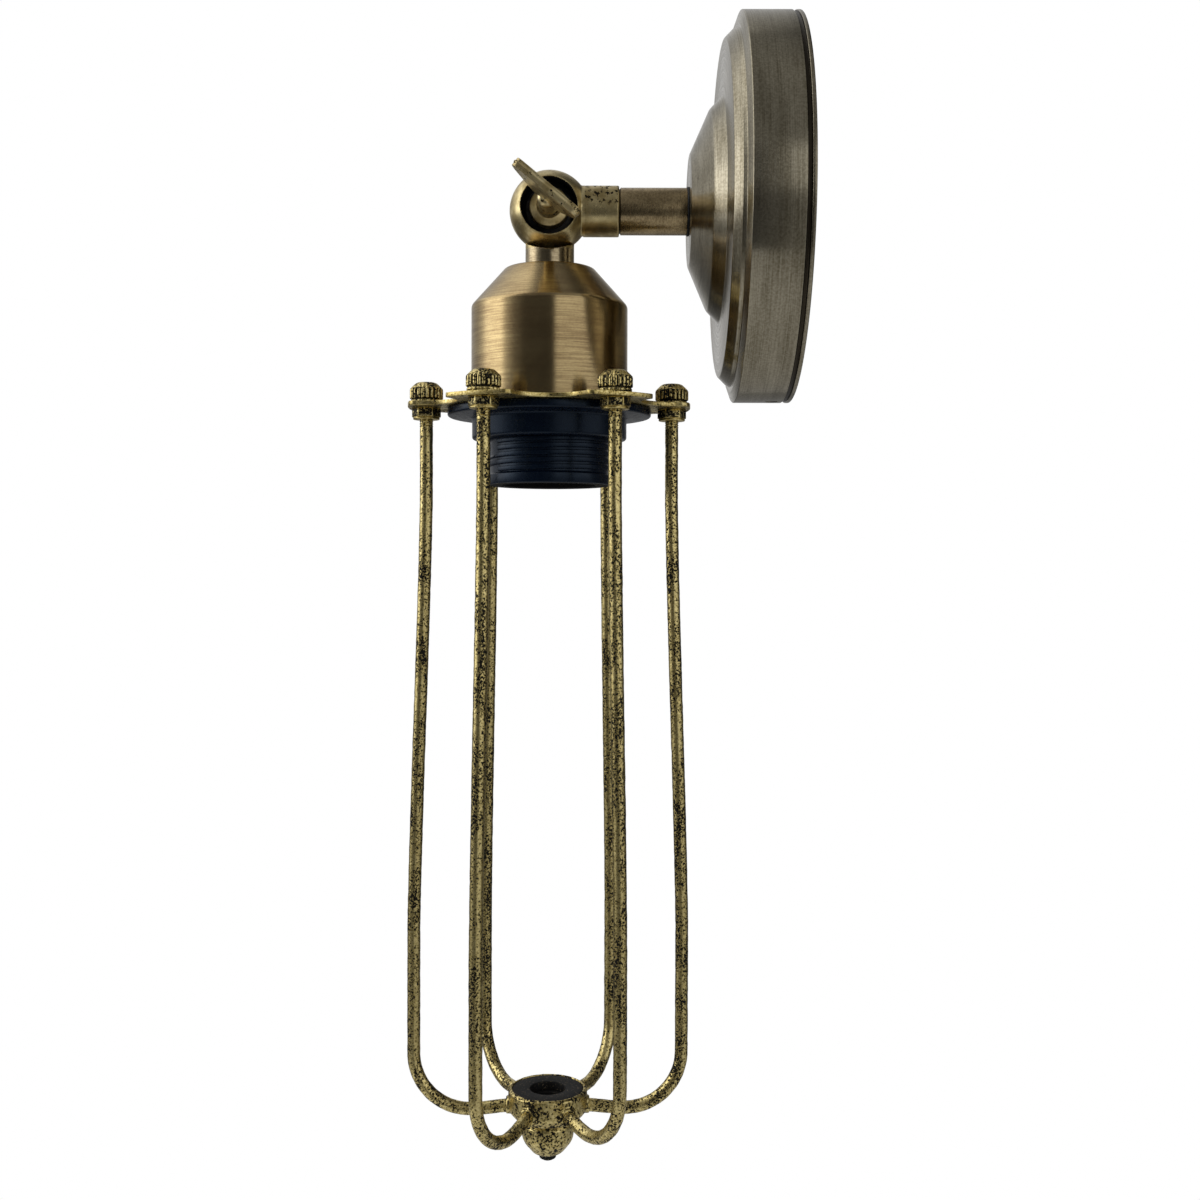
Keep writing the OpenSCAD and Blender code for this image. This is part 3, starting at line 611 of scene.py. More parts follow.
def ballArc(fromRadius, toRadius):
    # points on the ball's side between two distances from the pivot's axis
    k = Sizes(**knuckle)
    first = acos(fromRadius / k.ball)
    last = acos(toRadius / k.ball)
    angles = [first + (last - first) * index / k.ballSteps for index in range(k.ballSteps + 1)]
    return [(k.ball * cos(angle), k.ball * sin(angle)) for angle in angles]


def stub(name, radius, end, seat, edge, side):
    # collar or neck, bored for the rod or the nipple and cut back where the other half of the ball turns
    k = Sizes(**knuckle)
    rows = [(k.channel, k.inBall), (radius, k.inBall), (radius, end, edge), (k.rodHole, end),
            (k.rodHole, seat), (k.channel, seat)]
    piece = spun(name, [(row[0], side * row[1], *row[2:]) for row in rows], 128)
    if side > 0:
        settle(piece, turn=towardsWall)
    depth = 2 * k.ball
    cutRound(piece, 160, k.relief, depth, (side * (k.split - depth / 2), 0, 0), alongX)
    return piece


def makeKnuckle():
    k = Sizes(**knuckle)
    splitEdge = sqrt(k.ball ** 2 - k.split ** 2)
    rimAlong = sqrt(k.ball ** 2 - k.recess ** 2)
    half = spun("fixedKnuckle", [
        (k.screwHole, k.split), *ballArc(splitEdge, k.recess + k.rimRound),
        (k.recess, rimAlong - 0.1), (k.recess, k.recessFloor, 0.6), (k.screwHole, k.recessFloor),
    ], 128)
    settle(half, turn=alongX)
    collar = stub("collar", k.collar, k.collarEnd, k.rodSeat, 0.4, 1)
    fixed = joinPieces([half, collar], "fixedKnuckle")
    softened(fixed, k.grain, k.rounds)
    settle(fixed, pivot)
    finishPiece(fixed, "wall_side", "fixed_knuckle", "cast_brass", knuckleBrass, collarBrass, shadowBlack)

    def inRecess(face):
        side = face.center - pivot
        return side.x > 0 and hypot(side.y, side.z) < (k.recess + 0.12) * mm

    paintFaces(fixed, inRecess, 2)
    paintFaces(fixed, lambda face: face.center.y - pivot.y > (k.ball - 1.6) * mm)

    half = spun("swivelKnuckle", [
        (k.thread, k.split), (k.threadBoss, k.split), (k.threadBoss, k.hollowFloor),
        (k.hollow, k.hollowFloor), (k.hollow, k.split), *ballArc(splitEdge, 0.0),
        (0, k.threadEnd), (k.thread, k.threadEnd),
    ], 128)
    settle(half, turn=againstX)
    neck = stub("neck", k.neck, k.neckEnd, k.nippleSeat, 0.3, -1)
    swivel = joinPieces([half, neck], "swivelKnuckle")
    softened(swivel, k.grain, k.rounds)
    settle(swivel, pivot)
    finishPiece(swivel, "lamp_head", "swivel_knuckle", "cast_brass", knuckleBrass, neckBrass)
    paintFaces(swivel, lambda face: face.center.z < pivot.z - k.ball * mm * 0.98)


wing = dict(
    root=17.5, edge=31.5, rootWidth=9.6, edgeWidth=24.6, widest=28.0, thick=2.8, down=39.5,
    cornerRound=1.8, edgeRound=0.7, seam=0.5, seamOut=0.25, dish=6.25, dishAt=2.85,
    dishTop=7.0, neck=3.9, neckAt=7.9, boss=3.3, bossAt=9.2, bossTop=19.9, shank=2.5,
    shankIn=8.5, grain=0.17, rounds=2,
)


def wingPlate(name, grow, thick):
    w = Sizes(**wing)
    start = w.root - grow
    width = w.edgeWidth + 2 * grow
    piece = primitive(
        bpy.ops.mesh.primitive_cube_add, size=mm, location=((start + w.widest) / 2 * mm, 0, 0),
        scale=(w.widest - start, width, thick))
    piece.name = name
    settle(piece, piece.location.copy())
    pick(piece, "FACE", lambda face: face.normal.x < -0.9)
    bpy.ops.transform.resize(value=(1, (w.rootWidth + 2 * grow) / width, 1), center_override=(start * mm, 0, 0))
    pick(piece, "FACE", lambda face: face.normal.x > 0.9)
    bpy.ops.mesh.extrude_region_move(TRANSFORM_OT_translate={"value": ((w.edge + grow - w.widest) * mm, 0, 0)})

    def upright(edge):
        first, second = (piece.data.vertices[index].co for index in edge.vertices)
        return abs(first.z - second.z) > 0.5 * thick * mm

    pick(piece, "EDGE", upright)
    bpy.ops.mesh.bevel(offset=w.cornerRound * mm, segments=5, affect="EDGES")
    endEdit()
    return piece


def makeWingScrew():
    w = Sizes(**wing)
    neckTop = w.neckAt + 0.7
    body = spun("wingScrew", [
        (0, -w.shankIn), (w.shank, -w.shankIn, 0.4), (w.shank, w.dishAt),
        (w.dish, w.dishAt, 0.3), (w.dish, w.dishTop, 0.6), (w.neck, w.neckAt, 0.5),
        (w.neck - 0.2, neckTop, 0.3), (w.boss, w.bossAt, 0.4), (w.boss, w.bossTop, 1.8),
        (0, w.bossTop),
    ], 96)
    settle(body, turn=alongX)
    plate = wingPlate("wingPlate", 0, w.thick)
    roundEdges(plate, w.edgeRound, 4, 50)
    piece = joinPieces([body, plate, wingPlate("wingSeam", w.seamOut, w.seam)], "wingScrew")
    softened(piece, w.grain, w.rounds)
    settle(piece, pivot, (radians(-w.down), 0, 0))
    finishPiece(piece, "wing_screw", "wing_screw", "cast_brass", wingBrass, dishBrass)
    paintFaces(piece, lambda face: w.dishAt * mm < face.center.x < (neckTop + 0.2) * mm)


cup = dict(radius=24.7, top=14.0, topAt=-18.3, fold=-30.3, foot=-61.2, sheet=1.0, hole=5.05)


def makeCup():
    c = Sizes(**cup)
    wall = c.sheet
    piece = spun("cupShell", [
        (c.hole, c.topAt), (c.top, c.topAt, 2.0), (c.radius, c.fold, 2.2),
        (c.radius, c.foot, 0.3), (c.radius - wall, c.foot, 0.3),
        (c.radius - wall, c.fold - wall / 2, 2), (c.top - wall / 2, c.topAt - wall, 1.4),
        (c.hole, c.topAt - wall),
    ], 224, 7)
    settle(piece, pivot)
    finishPiece(piece, "lamp_head", "cup", "antique_brass", cupBrass)


holder = dict(
    radius=19.55, core=18.8, top=-52.0, spigot=17.15, spigotTop=-46.0, room=15.0,
    ledge=-57.4, shell=13.85, mouth=14.8, mouthTop=-80.0, foot=-86.8, threadEnd=-83.4,
    threadTop=-69.5, pitch=2.2, turns=5.6, threadStart=-53, ridgeFoot=0.80, ridgeTop=(0.12, 0.68),
    flatFrom=-100, flatTo=-56, flatAbove=-77.5, steps=192,
)


def makeHolderSkirt():
    h = Sizes(**holder)
    threadFoot = h.threadEnd + 0.3
    body = spun("holderSkirt", [
        (h.room, h.spigotTop), (h.spigot, h.spigotTop, 0.4), (h.spigot, h.top),
        (h.radius, h.top, 0.3), (h.radius, h.threadTop, 0.2), (h.core, h.threadTop - 0.5, 0.1),
        (h.core, threadFoot, 0.1), (h.radius, h.threadEnd - 0.3, 0.3), (h.radius, h.foot, 0.5),
        (h.mouth, h.foot, 0.5), (h.mouth, h.mouthTop), (h.shell, h.mouthTop),
        (h.shell, h.ledge), (h.room, h.ledge),
    ], h.steps, 3)
    # the ridge of the thread is screwed round the core, and flattened where the mould parts
    root = h.core - 0.3
    low, high = (threadFoot + share * h.pitch for share in h.ridgeTop)
    rows = [(root, threadFoot), (root, threadFoot + h.ridgeFoot * h.pitch), (h.radius, high, 0.14),
            (h.radius, low, 0.14)]
    thread = drawnLine("holderThread", profile(rows, 3))
    steps = int(h.steps * h.turns)
    modify(thread, "SCREW", angle=tau * h.turns, screw_offset=h.pitch * h.turns * mm, steps=steps,
           render_steps=steps)
    startEdit(thread, action="SELECT")
    bpy.ops.mesh.fill_holes(sides=0)
    faceOutwards()
    endEdit()
    settle(thread, turn=(0, 0, radians(h.threadStart)))

    def onFlat(vertex):
        angle = degrees(atan2(vertex.co.y, vertex.co.x))
        return vertex.co.z > h.flatAbove * mm and h.flatFrom < angle < h.flatTo

    drawIn(thread, onFlat, (h.core - 0.2) / h.radius)
    smoothBy(thread, 40)
    piece = joinPieces([body, thread], "holderSkirt")
    settle(piece, pivot)
    finishPiece(piece, "lamp_head", "holder_skirt", "dark_plastic", navyPlastic, shadowBlack)

    def inside(face):
        away = hypot(face.center.x - pivot.x, face.center.y - pivot.y)
        underside = away < (h.radius - 0.6) * mm and face.center.z < (h.foot + 0.6) * mm
        return underside or away < h.shell * mm * 1.1

    paintFaces(piece, inside)


shell = dict(
    outer=13.75, deep=0.5, wall=0.3, top=-60.05, foot=-79.95, pitch=3.62, rows=12, steps=72,
)


def makeScrewShell():
    # one wave of the rolled thread is screwed down the shell's length and trimmed level
    s = Sizes(**shell)
    points = []
    for row in range(s.rows + 1):
        wave = cos(tau * row / s.rows)
        radius = s.outer - s.deep / 2 * (1 - wave)
        points.append(Vector((radius * mm, 0, (s.foot + s.pitch * (row / s.rows - 1)) * mm)))
    piece = drawnLine("screwShell", points, closed=False)
    turns = ceil((s.top - s.foot) / s.pitch) + 1
    modify(piece, "SCREW", angle=tau, screw_offset=s.pitch * mm, iterations=turns, steps=s.steps,
           render_steps=s.steps, use_merge_vertices=False)
    startEdit(piece, action="SELECT")
    bpy.ops.mesh.remove_doubles(threshold=0.000003)
    for height, upper in ((s.top, True), (s.foot, False)):
        bpy.ops.mesh.select_all(action="SELECT")
        bpy.ops.mesh.bisect(plane_co=(0, 0, height * mm), plane_no=(0, 0, 1), clear_outer=upper,
                            clear_inner=not upper)
    faceOutwards()
    endEdit()
    modify(piece, "SOLIDIFY", thickness=s.wall * mm, offset=-1)
    smoothBy(piece, 60)
    settle(piece, pivot)
    finishPiece(piece, "lamp_head", "screw_shell", "bare_brass", bareBrass)


shadeRing = dict(bore=19.6, flange=32.2, top=-62.65, thick=2.5, sleeve=24.45, foot=-72.45)


def makeShadeRing():
    r = Sizes(**shadeRing)
    under = r.top - r.thick
    piece = spun("shadeRing", [
        (r.bore, r.top), (r.flange, r.top, 0.4), (r.flange, under, 0.7),
        (r.sleeve, under - 0.4, 0.9), (r.sleeve, r.foot, 0.9), (r.bore, r.foot, 0.4),
    ], 192)
    settle(piece, pivot)
    finishPiece(piece, "shade_ring", "shade_ring", "dark_plastic", navyPlastic)


cage = dict(
    studs=38.9, plate=44.6, plateTop=-61.2, plateThick=1.3, plateHole=19.6, studHole=2.25,
    scallop=11.6, scallopOut=45.6, count=6, cornerRound=2.4, edgeRound=0.32,
    arcSteps=(10, 10, 24),
)
sixth = tau / cage["count"]


def wireAngle(index):
    # index 0 points away from the wall
    return cageTurn - sixth * index


def arcPoints(centre, radius, first, last, steps):
    angles = [first + (last - first) * index / steps for index in range(steps + 1)]
    return [centre + radius * Vector((cos(angle), sin(angle))) for angle in angles]


def plateOutline():
    # six lobes with rounded corners, and a scallop between each two
    c = Sizes(**cage)
    inner = c.plate - c.cornerRound
    reach = c.scallop + c.cornerRound
    turn = acos((inner ** 2 + c.scallopOut ** 2 - reach ** 2) / (2 * inner * c.scallopOut))
    scallop = Vector((c.scallopOut, 0))
    corner = Vector((inner * cos(turn), -inner * sin(turn)))
    other = Vector((corner.x, -corner.y))
    towards = atan2((scallop - corner).y, (scallop - corner).x)
    lobeSteps, cornerSteps, scallopSteps = c.arcSteps
    side = arcPoints(corner, c.cornerRound, -turn, towards, cornerSteps)
    side += arcPoints(scallop, c.scallop, pi + towards, pi - towards, scallopSteps)[1:-1]
    side += arcPoints(other, c.cornerRound, -towards, turn, cornerSteps)
    side += arcPoints(Vector((0, 0)), c.plate, turn, sixth - turn, lobeSteps)[1:-1]
    points = []
    for index in range(c.count):
        spin = Matrix.Rotation(sixth * (index + 0.5) - pi / 2, 2)
        points += [spin @ point for point in side]
    return [Vector((point.x * mm, point.y * mm, -c.plateThick / 2 * mm)) for point in points]


def makeCagePlate():
    c = Sizes(**cage)
    piece = drawnLine("cagePlate", plateOutline())
    startEdit(piece, action="SELECT")
    bpy.ops.mesh.edge_face_add()
    bpy.ops.mesh.extrude_region_move(TRANSFORM_OT_translate={"value": (0, 0, c.plateThick * mm)})
    faceOutwards()
    endEdit()
    dress(piece, plateGilt, edgeGilt)
    holes = [(0, 0, c.plateHole, 128)]
    holes += [(c.studs, sixth * index, c.studHole, 32) for index in range(c.count)]
    for out, angle, radius, vertices in holes:
        cutRound(piece, vertices, radius, 3 * c.plateThick, (-out * sin(angle), -out * cos(angle), 0))
    roundEdges(piece, c.edgeRound, 3, 30, material=1)
    smoothBy(piece, 50)
    middle = c.plateTop - c.plateThick / 2
    settle(piece, (pivot.x, pivot.y, middle * mm), (0, 0, cageTurn))
    finishPiece(piece, "lamp_head", "cage_plate", "patina_brass")
    paintFaces(piece, lambda face: abs(face.normal.z) < 0.3)


def onEachStud(base, stem, height):
    # the piece and its copies, one at each of the cage's wires
    settle(base, (pivot.x, pivot.y - cage["studs"] * mm, height * mm))
    pieces = [base] + [copyPiece(base, f"{stem}_{index + 1}") for index in range(1, cage["count"])]
    for index, piece in enumerate(pieces):
        turnedAbout(piece, wireAngle(index))
    return pieces


knob = dict(
    radius=5.25, top=6.95, crown=3.1, shoulder=4.7, bandFoot=1.75, waist=4.65, waistAt=1.35,
    bead=5.0, foot=0.15, bore=2.05, boreTop=5.1, ridges=22, perRidge=6,
    # the heights that the knurl's grooves run between on the band and the bead, and what is left of the radius
    grooves=((1.7, 5.2, 0.92), (0.3, 1.2, 0.955)), grooveIn=4.2,
)


def makeThumbNuts():
    k = Sizes(**knob)
    base = spun("thumbNut_1", [
        (0, k.boreTop), (k.bore, k.boreTop), (k.bore, k.foot), (k.bead - 0.3, k.foot, 0.2),
        (k.bead, 0.45, 0.3), (k.bead, 1.0, 0.3), (k.waist, k.waistAt, 0.1),
        (k.radius, k.bandFoot, 0.2), (k.radius, k.shoulder, 1.1), (k.crown, k.top - 0.15, 2.4),
        (0, k.top),
    ], k.ridges * k.perRidge)
    ridge = tau / k.ridges

    def inGroove(co, low, high, phases):
        phase = round((atan2(co.y, co.x) % ridge) / ridge * k.perRidge) % k.perRidge
        return low * mm < co.z < high * mm and phase in phases and hypot(co.x, co.y) > k.grooveIn * mm

    for low, high, depth in k.grooves:
        for phases, share in (((0,), depth), ((1, k.perRidge - 1), (1 + depth) / 2)):
            drawIn(base, lambda vertex: inGroove(vertex.co, low, high, phases), share)
    dress(base, knobGilt, grooveGilt)

    def recessed(face):
        corners = [base.data.vertices[index].co for index in face.vertices]
        narrow = min(hypot(co.x, co.y) for co in corners)
        onBand = 1.2 * mm < face.center.z < 4.9 * mm and narrow < (k.radius - 0.3) * mm
        return onBand or face.center.z < 0.4 * mm

    paintFaces(base, recessed)
    smoothBy(base, 50)
    for index, piece in enumerate(onEachStud(base, "thumbNut", cage["plateTop"])):
        node = f"thumb_nut_{index + 1}"
        finishPiece(piece, node, node, "patina_brass")


nut = dict(
    acrossFlats=8.0, height=3.6, flange=4.2, flangeHeight=0.8, hole=2.05, edgeRound=0.28,
)


def makeHexNuts():
    n = Sizes(**nut)
    seat = n.flangeHeight - n.height
    depth = 0.1 - seat
    body = primitive(
        bpy.ops.mesh.primitive_cylinder_add, vertices=6, depth=depth * mm, location=(0, 0, -depth / 2 * mm),
        radius=n.acrossFlats / 2 / cos(radians(30)) * mm)
    dress(body, nutGilt, edgeGilt)
    settle(body, body.location.copy())
    roundEdges(body, n.edgeRound, 3, 30, material=1)
    flange = spun("nutFlange", [
        (n.hole, seat), (n.flange - 0.2, seat, 0.2), (n.flange, -n.height + 0.5, 0.15),
        (n.flange, -n.height, 0.25), (n.hole, -n.height),
    ], 48, 3)
    dress(flange, edgeGilt)
    base = joinPieces([body, flange], "hexNut")
    smoothBy(base, 45)
    nuts = onEachStud(base, "hexNut", cage["plateTop"] - cage["plateThick"])
    finishPiece(joinPieces(nuts, "hexNuts"), "lamp_head", "hex_nuts", "patina_brass")


wire = dict(
    radius=2.1, stud=2.0, start=-56.25, freeAt=-68.1, top=38.9, low=42.7, bend=18.0,
    run=-284.2, inner=8.6, bowStart=-92.0, bowEnd=-226.0, sides=20, spacing=0.9,
    threads=3, threadTop=1.7, threadPitch=0.75, threadRoot=1.6, threadOut=0.08,
    lumpSize=0.0022, lumps=0.22,
    dips=(1.2, 1.0, 1.0, 1.2, 2.2, 3.5),  # how far each wire hangs under its hole in the hub
)


def wirePath(dip):
    # distance from the lamp's axis and height, down one wire
    w = Sizes(**wire)
    points = [(w.top, w.start)]
    height = w.start
    bendTop = w.run + w.bend - dip
    while height - w.spacing > bendTop:
        height -= w.spacing
        share = max(0, min(1, (w.bowStart - height) / (w.bowStart - w.bowEnd)))
        ease = share * share * (3 - 2 * share) * 0.35 + share * 0.65
        points.append((w.top + (w.low - w.top) * ease, height))
    steps = int(w.bend * pi / 2 / w.spacing)
    for index in range(steps + 1):
        angle = pi / 2 * index / steps
        points.append((w.low - w.bend * (1 - cos(angle)), bendTop - w.bend * sin(angle)))
    first = out = w.low - w.bend
    while out - w.spacing > w.inner:
        out -= w.spacing
        share = (first - out) / (first - w.inner)
        points.append((out, w.run - dip * (1 - share * share * (3 - 2 * share))))
    points.append((w.inner, w.run))
    return points


def bentWire(name, dip):
    w = Sizes(**wire)
    points = wirePath(dip)
    piece = primitive(bpy.ops.curve.primitive_bezier_curve_add)
    piece.name = name
    piece.data.splines.clear()
    spline = piece.data.splines.new("POLY")
    spline.points.add(len(points) - 1)
    for target, (out, height) in zip(spline.points, points):
        target.co = (0, -out * mm, height * mm, 1)
        target.radius = 1.0 if height < w.freeAt else w.stud / w.radius
    piece.data.dimensions = "3D"
    piece.data.bevel_depth = w.radius * mm
    piece.data.bevel_resolution = w.sides // 4
    piece.data.use_fill_caps = True
    onlyActive(piece)
    bpy.ops.object.convert(target="MESH")
    cleanShell(piece)
    return bpy.context.object


def newLumps(name, size, depth):
    lumps = bpy.data.textures.new(name, "CLOUDS")
    lumps.noise_scale = size
    lumps.noise_depth = depth
    return lumps


def roughen(piece, lumps, strength, level):
    modify(piece, "DISPLACE", texture=lumps, strength=strength * mm, mid_level=level, texture_coords="LOCAL")


def makeWires():
    w = Sizes(**wire)
    lumps = newLumps("handForged", w.lumpSize, 2)
    crests = []
    for index in range(w.threads):
        height = w.freeAt + w.threadTop - index * w.threadPitch
        crest = spun("thread", [
            (w.threadRoot, height), (w.stud, height),
            (w.radius + w.threadOut, height - 0.3, w.threadOut), (w.stud, height - 0.55),
            (w.threadRoot, height - 0.55),
        ], 32, 2)
        settle(crest, (0, -w.top * mm, 0))
        crests.append(crest)
    thread = joinPieces(crests, "wireThread")
    for index, dip in enumerate(w.dips):
        name = f"cageWire_{index + 1}"
        piece = bentWire(name, dip)
        roughen(piece, lumps, w.lumps, 0.62)
        piece = joinPieces([piece, copyPiece(thread, "wireThread")], name)
        onlyActive(piece)
        bpy.ops.object.shade_smooth()
        settle(piece, pivot)
        turnedAbout(piece, wireAngle(index))
        finishPiece(piece, "lamp_head", f"cage_wire_{index + 1}", "patina_brass", wireGilt)
    bpy.data.objects.remove(thread)


hub = dict(
    radius=12.6, top=-278.5, foot=-288.2, insert=11.25, insertTop=-278.9, insertThick=0.6,
    bore=8.2, hole=5.7, lowerHole=4.2, holeStep=-281.9, holeFloor=-283.7, stem=2.5,
    collar=2.8, collarOut=13.3, grain=0.22, rounds=3, lumpSize=0.0018, lumps=0.1, lean=2.5,
)


def lean(piece):
    # the hub and what it carries hang a little out of true
    centre = Vector((0, 0, wire["run"] * mm))
    angle = radians(hub["lean"])
    settle(piece, centre - Matrix.Rotation(angle, 3, "Y") @ centre, (0, angle, 0))
    settle(piece, pivot)


def makeHub(lumps):
    h = Sizes(**hub)
    seat = h.insertTop - h.insertThick
    body = spun("hubBody", [
        (h.insert + 0.1, h.top, 0.25), (h.radius, h.top - 0.7, 0.6), (h.radius, h.foot + 2.8, 2.1),
        (h.radius - 2.4, h.foot, 0.7), (h.bore, h.foot), (h.bore, seat), (h.insert + 0.1, seat),
    ], 128)
    pieces = [body]
    for index in range(cage["count"]):
        collar = spun("wireCollar", [
            (0.5, 10.0), (h.collar, 10.0), (h.collar, h.collarOut, 0.4), (0.5, h.collarOut),
        ], 40)
        settle(collar, (0, 0, wire["run"] * mm), (radians(90), 0, wireAngle(index)))
        pieces.append(collar)
    piece = joinPieces(pieces, "hubBody")
    softened(piece, h.grain, h.rounds)
    roughen(piece, lumps, h.lumps, 0.6)
    lean(piece)
    finishPiece(piece, "lamp_head", "hub", "patina_brass", hubGilt)
    lining = h.bore - 0.05
    insert = spun("hubInsert", [
        (h.hole, h.insertTop, 0.25), (h.insert, h.insertTop, 0.3), (h.insert, seat), (lining, seat),
        (lining, h.foot), (h.stem + 0.05, h.foot), (h.stem + 0.05, h.holeFloor),
        (h.lowerHole, h.holeFloor), (h.lowerHole, h.holeStep, 0.15), (h.hole, h.holeStep),
    ], 96, 3)
    lean(insert)
    finishPiece(insert, "lamp_head", "hub_insert", "black_trim", dustyBlack)


finial = dict(
    radius=8.3, stemTop=-284.3, top=-288.2, wide=-295.2, end=-299.9, tip=2.7, tipEnd=-302.05,
)


def makeFinial(lumps):
    f = Sizes(**finial)
    seat = f.top - 0.02
    piece = spun("finialNut", [
        (0, f.stemTop), (hub["stem"], f.stemTop), (hub["stem"], seat), (f.radius - 1.1, seat, 0.3),
        (f.radius, f.top - 2, 1.8), (f.radius, f.wide, 5.5), (f.radius - 3.9, f.end, 3),
        (0, f.end),
    ], 128)
    modify(piece, "SUBSURF", levels=1, render_levels=1)
    roughen(piece, lumps, hub["lumps"], 0.65)
    lean(piece)
    finishPiece(piece, "lamp_head", "finial", "patina_brass", hubGilt)
    tipTop = f.end + 0.4
    tip = spun("finialTip", [
        (0, tipTop), (f.tip, tipTop), (f.tip, f.tipEnd + 0.7, 0.5), (f.tip - 1.1, f.tipEnd, 0.8),
        (0, f.tipEnd),
    ], 48)
    lean(tip)
    finishPiece(tip, "lamp_head", "finial_tip", "black_trim", dustyBlack)


nodeFinish = [
    (zincSteel, ("wall_bracket", "canopy_screws", "arm_rod", "rod_washer", "rod_nut", "nipple", "nipple_nut")),
    (bareBrass, ("earth_screw", "terminal_screws", "centre_contact", "contact_screws")),
    (ivory, ("terminal_block", "contact_core")),
    # the spring washer is painted near black as shade in the knuckle's recess
    (recessShadeSteel, ("spring_washer",)),
    (navyPlastic, ("holder_cap",)),
]


def dressNodes():
    for material, names in nodeFinish:
        for name in names:
            nodes[name].data.materials.clear()
            dress(nodes[name], material)


studio = dict(
    floor=-0.8, floorSize=2.4, floorTone=0.6, middle=(0, -0.06, -0.12), ambient=0.45,
    lamps=[
        dict(name="leftSoftbox", angle=-78, height=0.1, far=1.0, size=(0.5, 1.2), power=7.0),
        dict(name="rightFill", angle=48, height=0.1, far=1.2, size=(0.5, 0.9), power=2.5),
        dict(name="topSoftbox", angle=-20, height=1.1, far=0.5, size=(0.9, 0.9), power=2.0),
    ],
    # what shiny surfaces see round the object, below its own height, above it and high up: 0 is the camera's
    # side, 180 the backdrop
    under=[
        (-180, 0.22), (-166, 0.15), (-150, 0.07), (-104, 0.08), (-95, 0.28), (-76, 0.28), (-65, 0.12), (-52, 0.08),
        (-36, 0.05), (4, 0.04), (8, 0.06), (12, 0.34), (84, 0.32), (94, 0.06), (124, 0.04), (140, 0.06),
        (166, 0.15), (180, 0.22),
    ],
    above=[
        (-180, 0.58), (-166, 0.5), (-152, 0.4), (-128, 0.45), (-114, 0.9), (-102, 2.0), (-74, 2.3), (-65, 0.8),
        (-52, 0.26), (-36, 0.07), (4, 0.05), (8, 0.08), (12, 0.92), (80, 0.92), (88, 0.08), (124, 0.04),
        (150, 0.08), (168, 0.4), (180, 0.58),
    ],
    high=[
        (-180, 0.6), (-158, 0.5), (-140, 0.8), (-118, 1.3), (-66, 1.6), (-56, 0.5), (-40, 0.24), (8, 0.18),
        (16, 0.3), (84, 0.3), (98, 0.07), (145, 0.05), (168, 0.3), (180, 0.6),
    ],
    peak=2.5, overhead=0.24, below=0.12,
)


def addLamps():
    middle = Vector(studio["middle"])
    for lamp in studio["lamps"]:
        angle = radians(lamp["angle"])
        place = middle + Vector((lamp["far"] * cos(angle), lamp["far"] * sin(angle), lamp["height"]))
        bpy.ops.object.light_add(type="AREA", location=place)
        light = bpy.context.object
        light.name = lamp["name"]
        light.rotation_euler = (middle - place).to_track_quat("-Z", "Y").to_euler()
        light.data.shape = "RECTANGLE"
        light.data.size, light.data.size_y = lamp["size"]
        light.data.energy = lamp["power"]
        light.visible_camera = False
        light.visible_glossy = False


def addFloor():
    # pale near the object, where it keeps the shadow, and white towards its edges
    floor = primitive(bpy.ops.mesh.primitive_plane_add, size=studio["floorSize"], location=(0, 0, studio["floor"]))
    floor.name = "studioFloor"
    material, tree, shader = newMaterial("paleFloor", 0.0, 0.9)
    fill(tree, shader, {"Base Color": (studio["floorTone"],) * 3})
    far = lengthOf(tree, addNode(tree, "TexCoord").outputs["Object"])
    seen = addNode(tree, "LightPath").outputs["Is Camera Ray"]
    white = addNode(tree, "Emission").outputs[0]
    amount = mathNode(tree, "MULTIPLY", seen, rangeNode(tree, far, 0.35, 1.0))
    mix = addNode(tree, "MixShader", {0: amount, 1: shader.outputs[0], 2: white})
    fill(tree, tree.nodes["Material Output"], {"Surface": mix.outputs[0]})
    dress(floor, material)


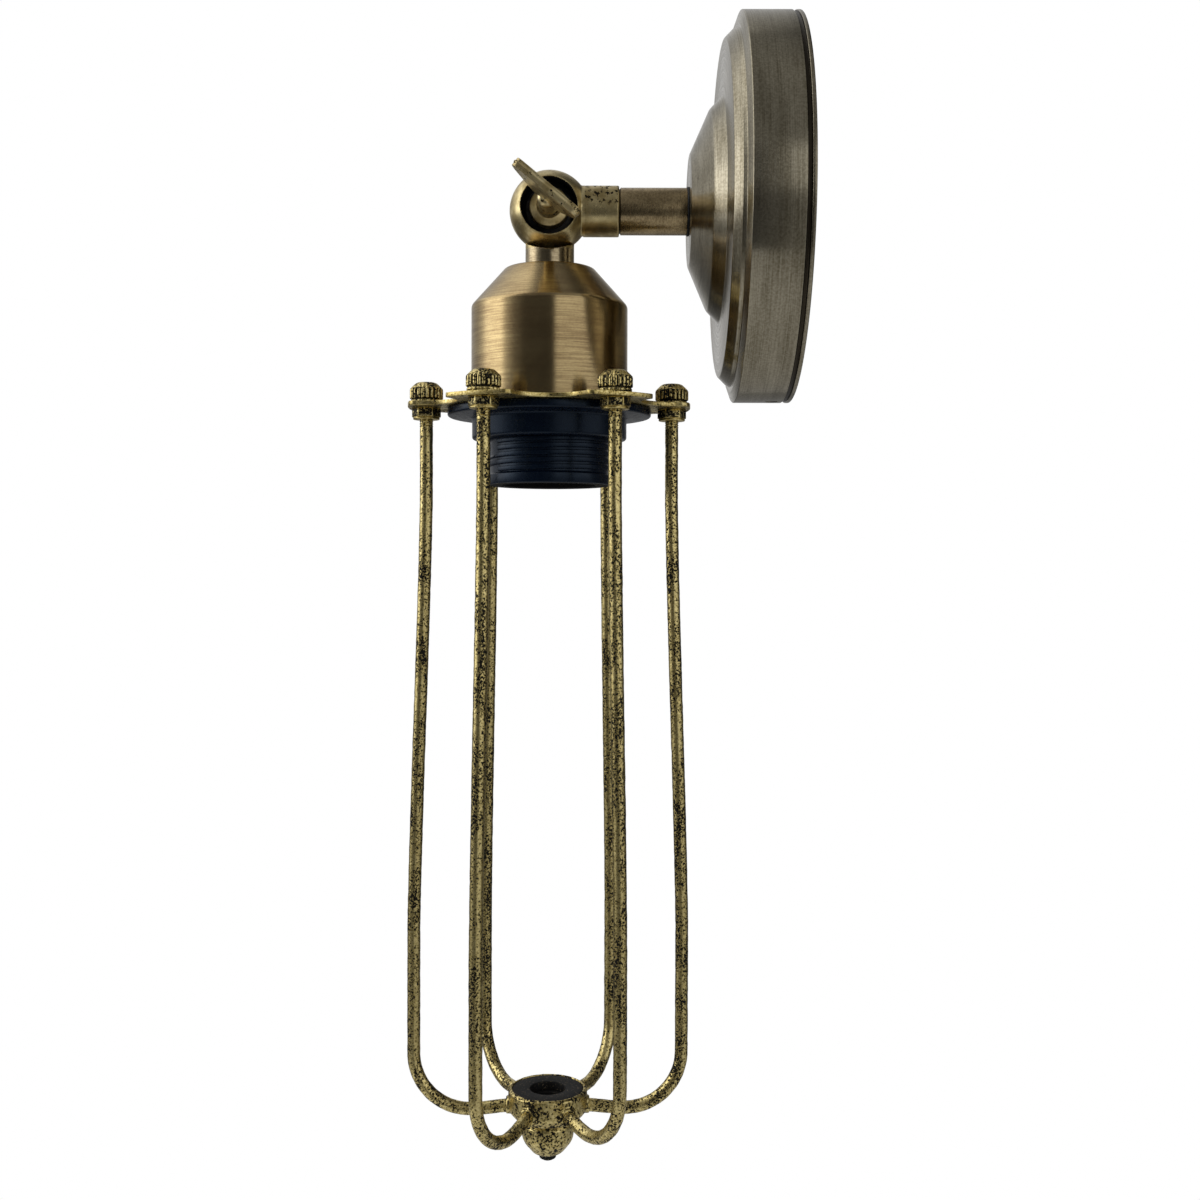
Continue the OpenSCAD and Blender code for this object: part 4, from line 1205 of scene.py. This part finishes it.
def addWorld():
    world = bpy.data.worlds.new("studioWorld")
    bpy.context.scene.world = world
    world.use_nodes = True
    tree = world.node_tree
    tree.nodes.clear()
    path = addNode(tree, "LightPath").outputs
    parts = addNode(tree, "SeparateXYZ", {0: addNode(tree, "TexCoord").outputs["Generated"]}).outputs
    share = mathNode(tree, "MULTIPLY_ADD", mathNode(tree, "ARCTAN2", parts["Y"], parts["X"]), 1 / tau, 0.5)
    ramps = []
    for side in ("under", "above", "high"):
        ramp = addNode(tree, "ValToRGB", {0: share})
        stops = ramp.color_ramp.elements
        while len(stops) < len(studio[side]):
            stops.new(0.5)
        for stop, (bearing, brightness) in zip(stops, studio[side]):
            stop.position = (bearing + 180) / 360
            stop.color = (*[brightness / studio["peak"]] * 3, 1)
        ramps.append(ramp.outputs[0])
    toned = mixColor(tree, rangeNode(tree, parts["Z"], -0.1, 0.1), *ramps[:2])
    toned = mixColor(tree, rangeNode(tree, parts["Z"], 0.32, 0.5), toned, ramps[2])
    for side, near, far in (("overhead", 0.93, 0.99), ("below", -0.6, -0.9)):
        toned = mixColor(tree, rangeNode(tree, parts["Z"], near, far), toned, (studio[side] / studio["peak"],) * 3)
    ambient = addNode(tree, "Background", {0: (studio["ambient"],) * 3, 1: 1.0}).outputs[0]
    mirror = addNode(tree, "Background", {0: toned, 1: studio["peak"]}).outputs[0]
    white = addNode(tree, "Background", {0: (1, 1, 1), 1: 1.0}).outputs[0]
    shiny = mathNode(tree, "MAXIMUM", path["Is Glossy Ray"], path["Is Transmission Ray"])
    lit = addNode(tree, "MixShader", {0: shiny, 1: ambient, 2: mirror}).outputs[0]
    seen = addNode(tree, "MixShader", {0: path["Is Camera Ray"], 1: lit, 2: white}).outputs[0]
    addNode(tree, "OutputWorld", {"Surface": seen})


addCamera()
makeCanopy()
makeArm()
print("canopy and arm made")
makeKnuckle()
makeWingScrew()
print("knuckle made")
makeCup()
makeHolderSkirt()
makeScrewShell()
makeShadeRing()
print("cup and lampholder made")
makeCagePlate()
makeThumbNuts()
makeHexNuts()
makeWires()
sandCast = newLumps("sandCast", hub["lumpSize"], 1)
makeHub(sandCast)
makeFinial(sandCast)
print("cage made")
dressNodes()
addLamps()
addFloor()
addWorld()
bpy.context.scene.view_settings.view_transform = "Standard"

print("scene ready")
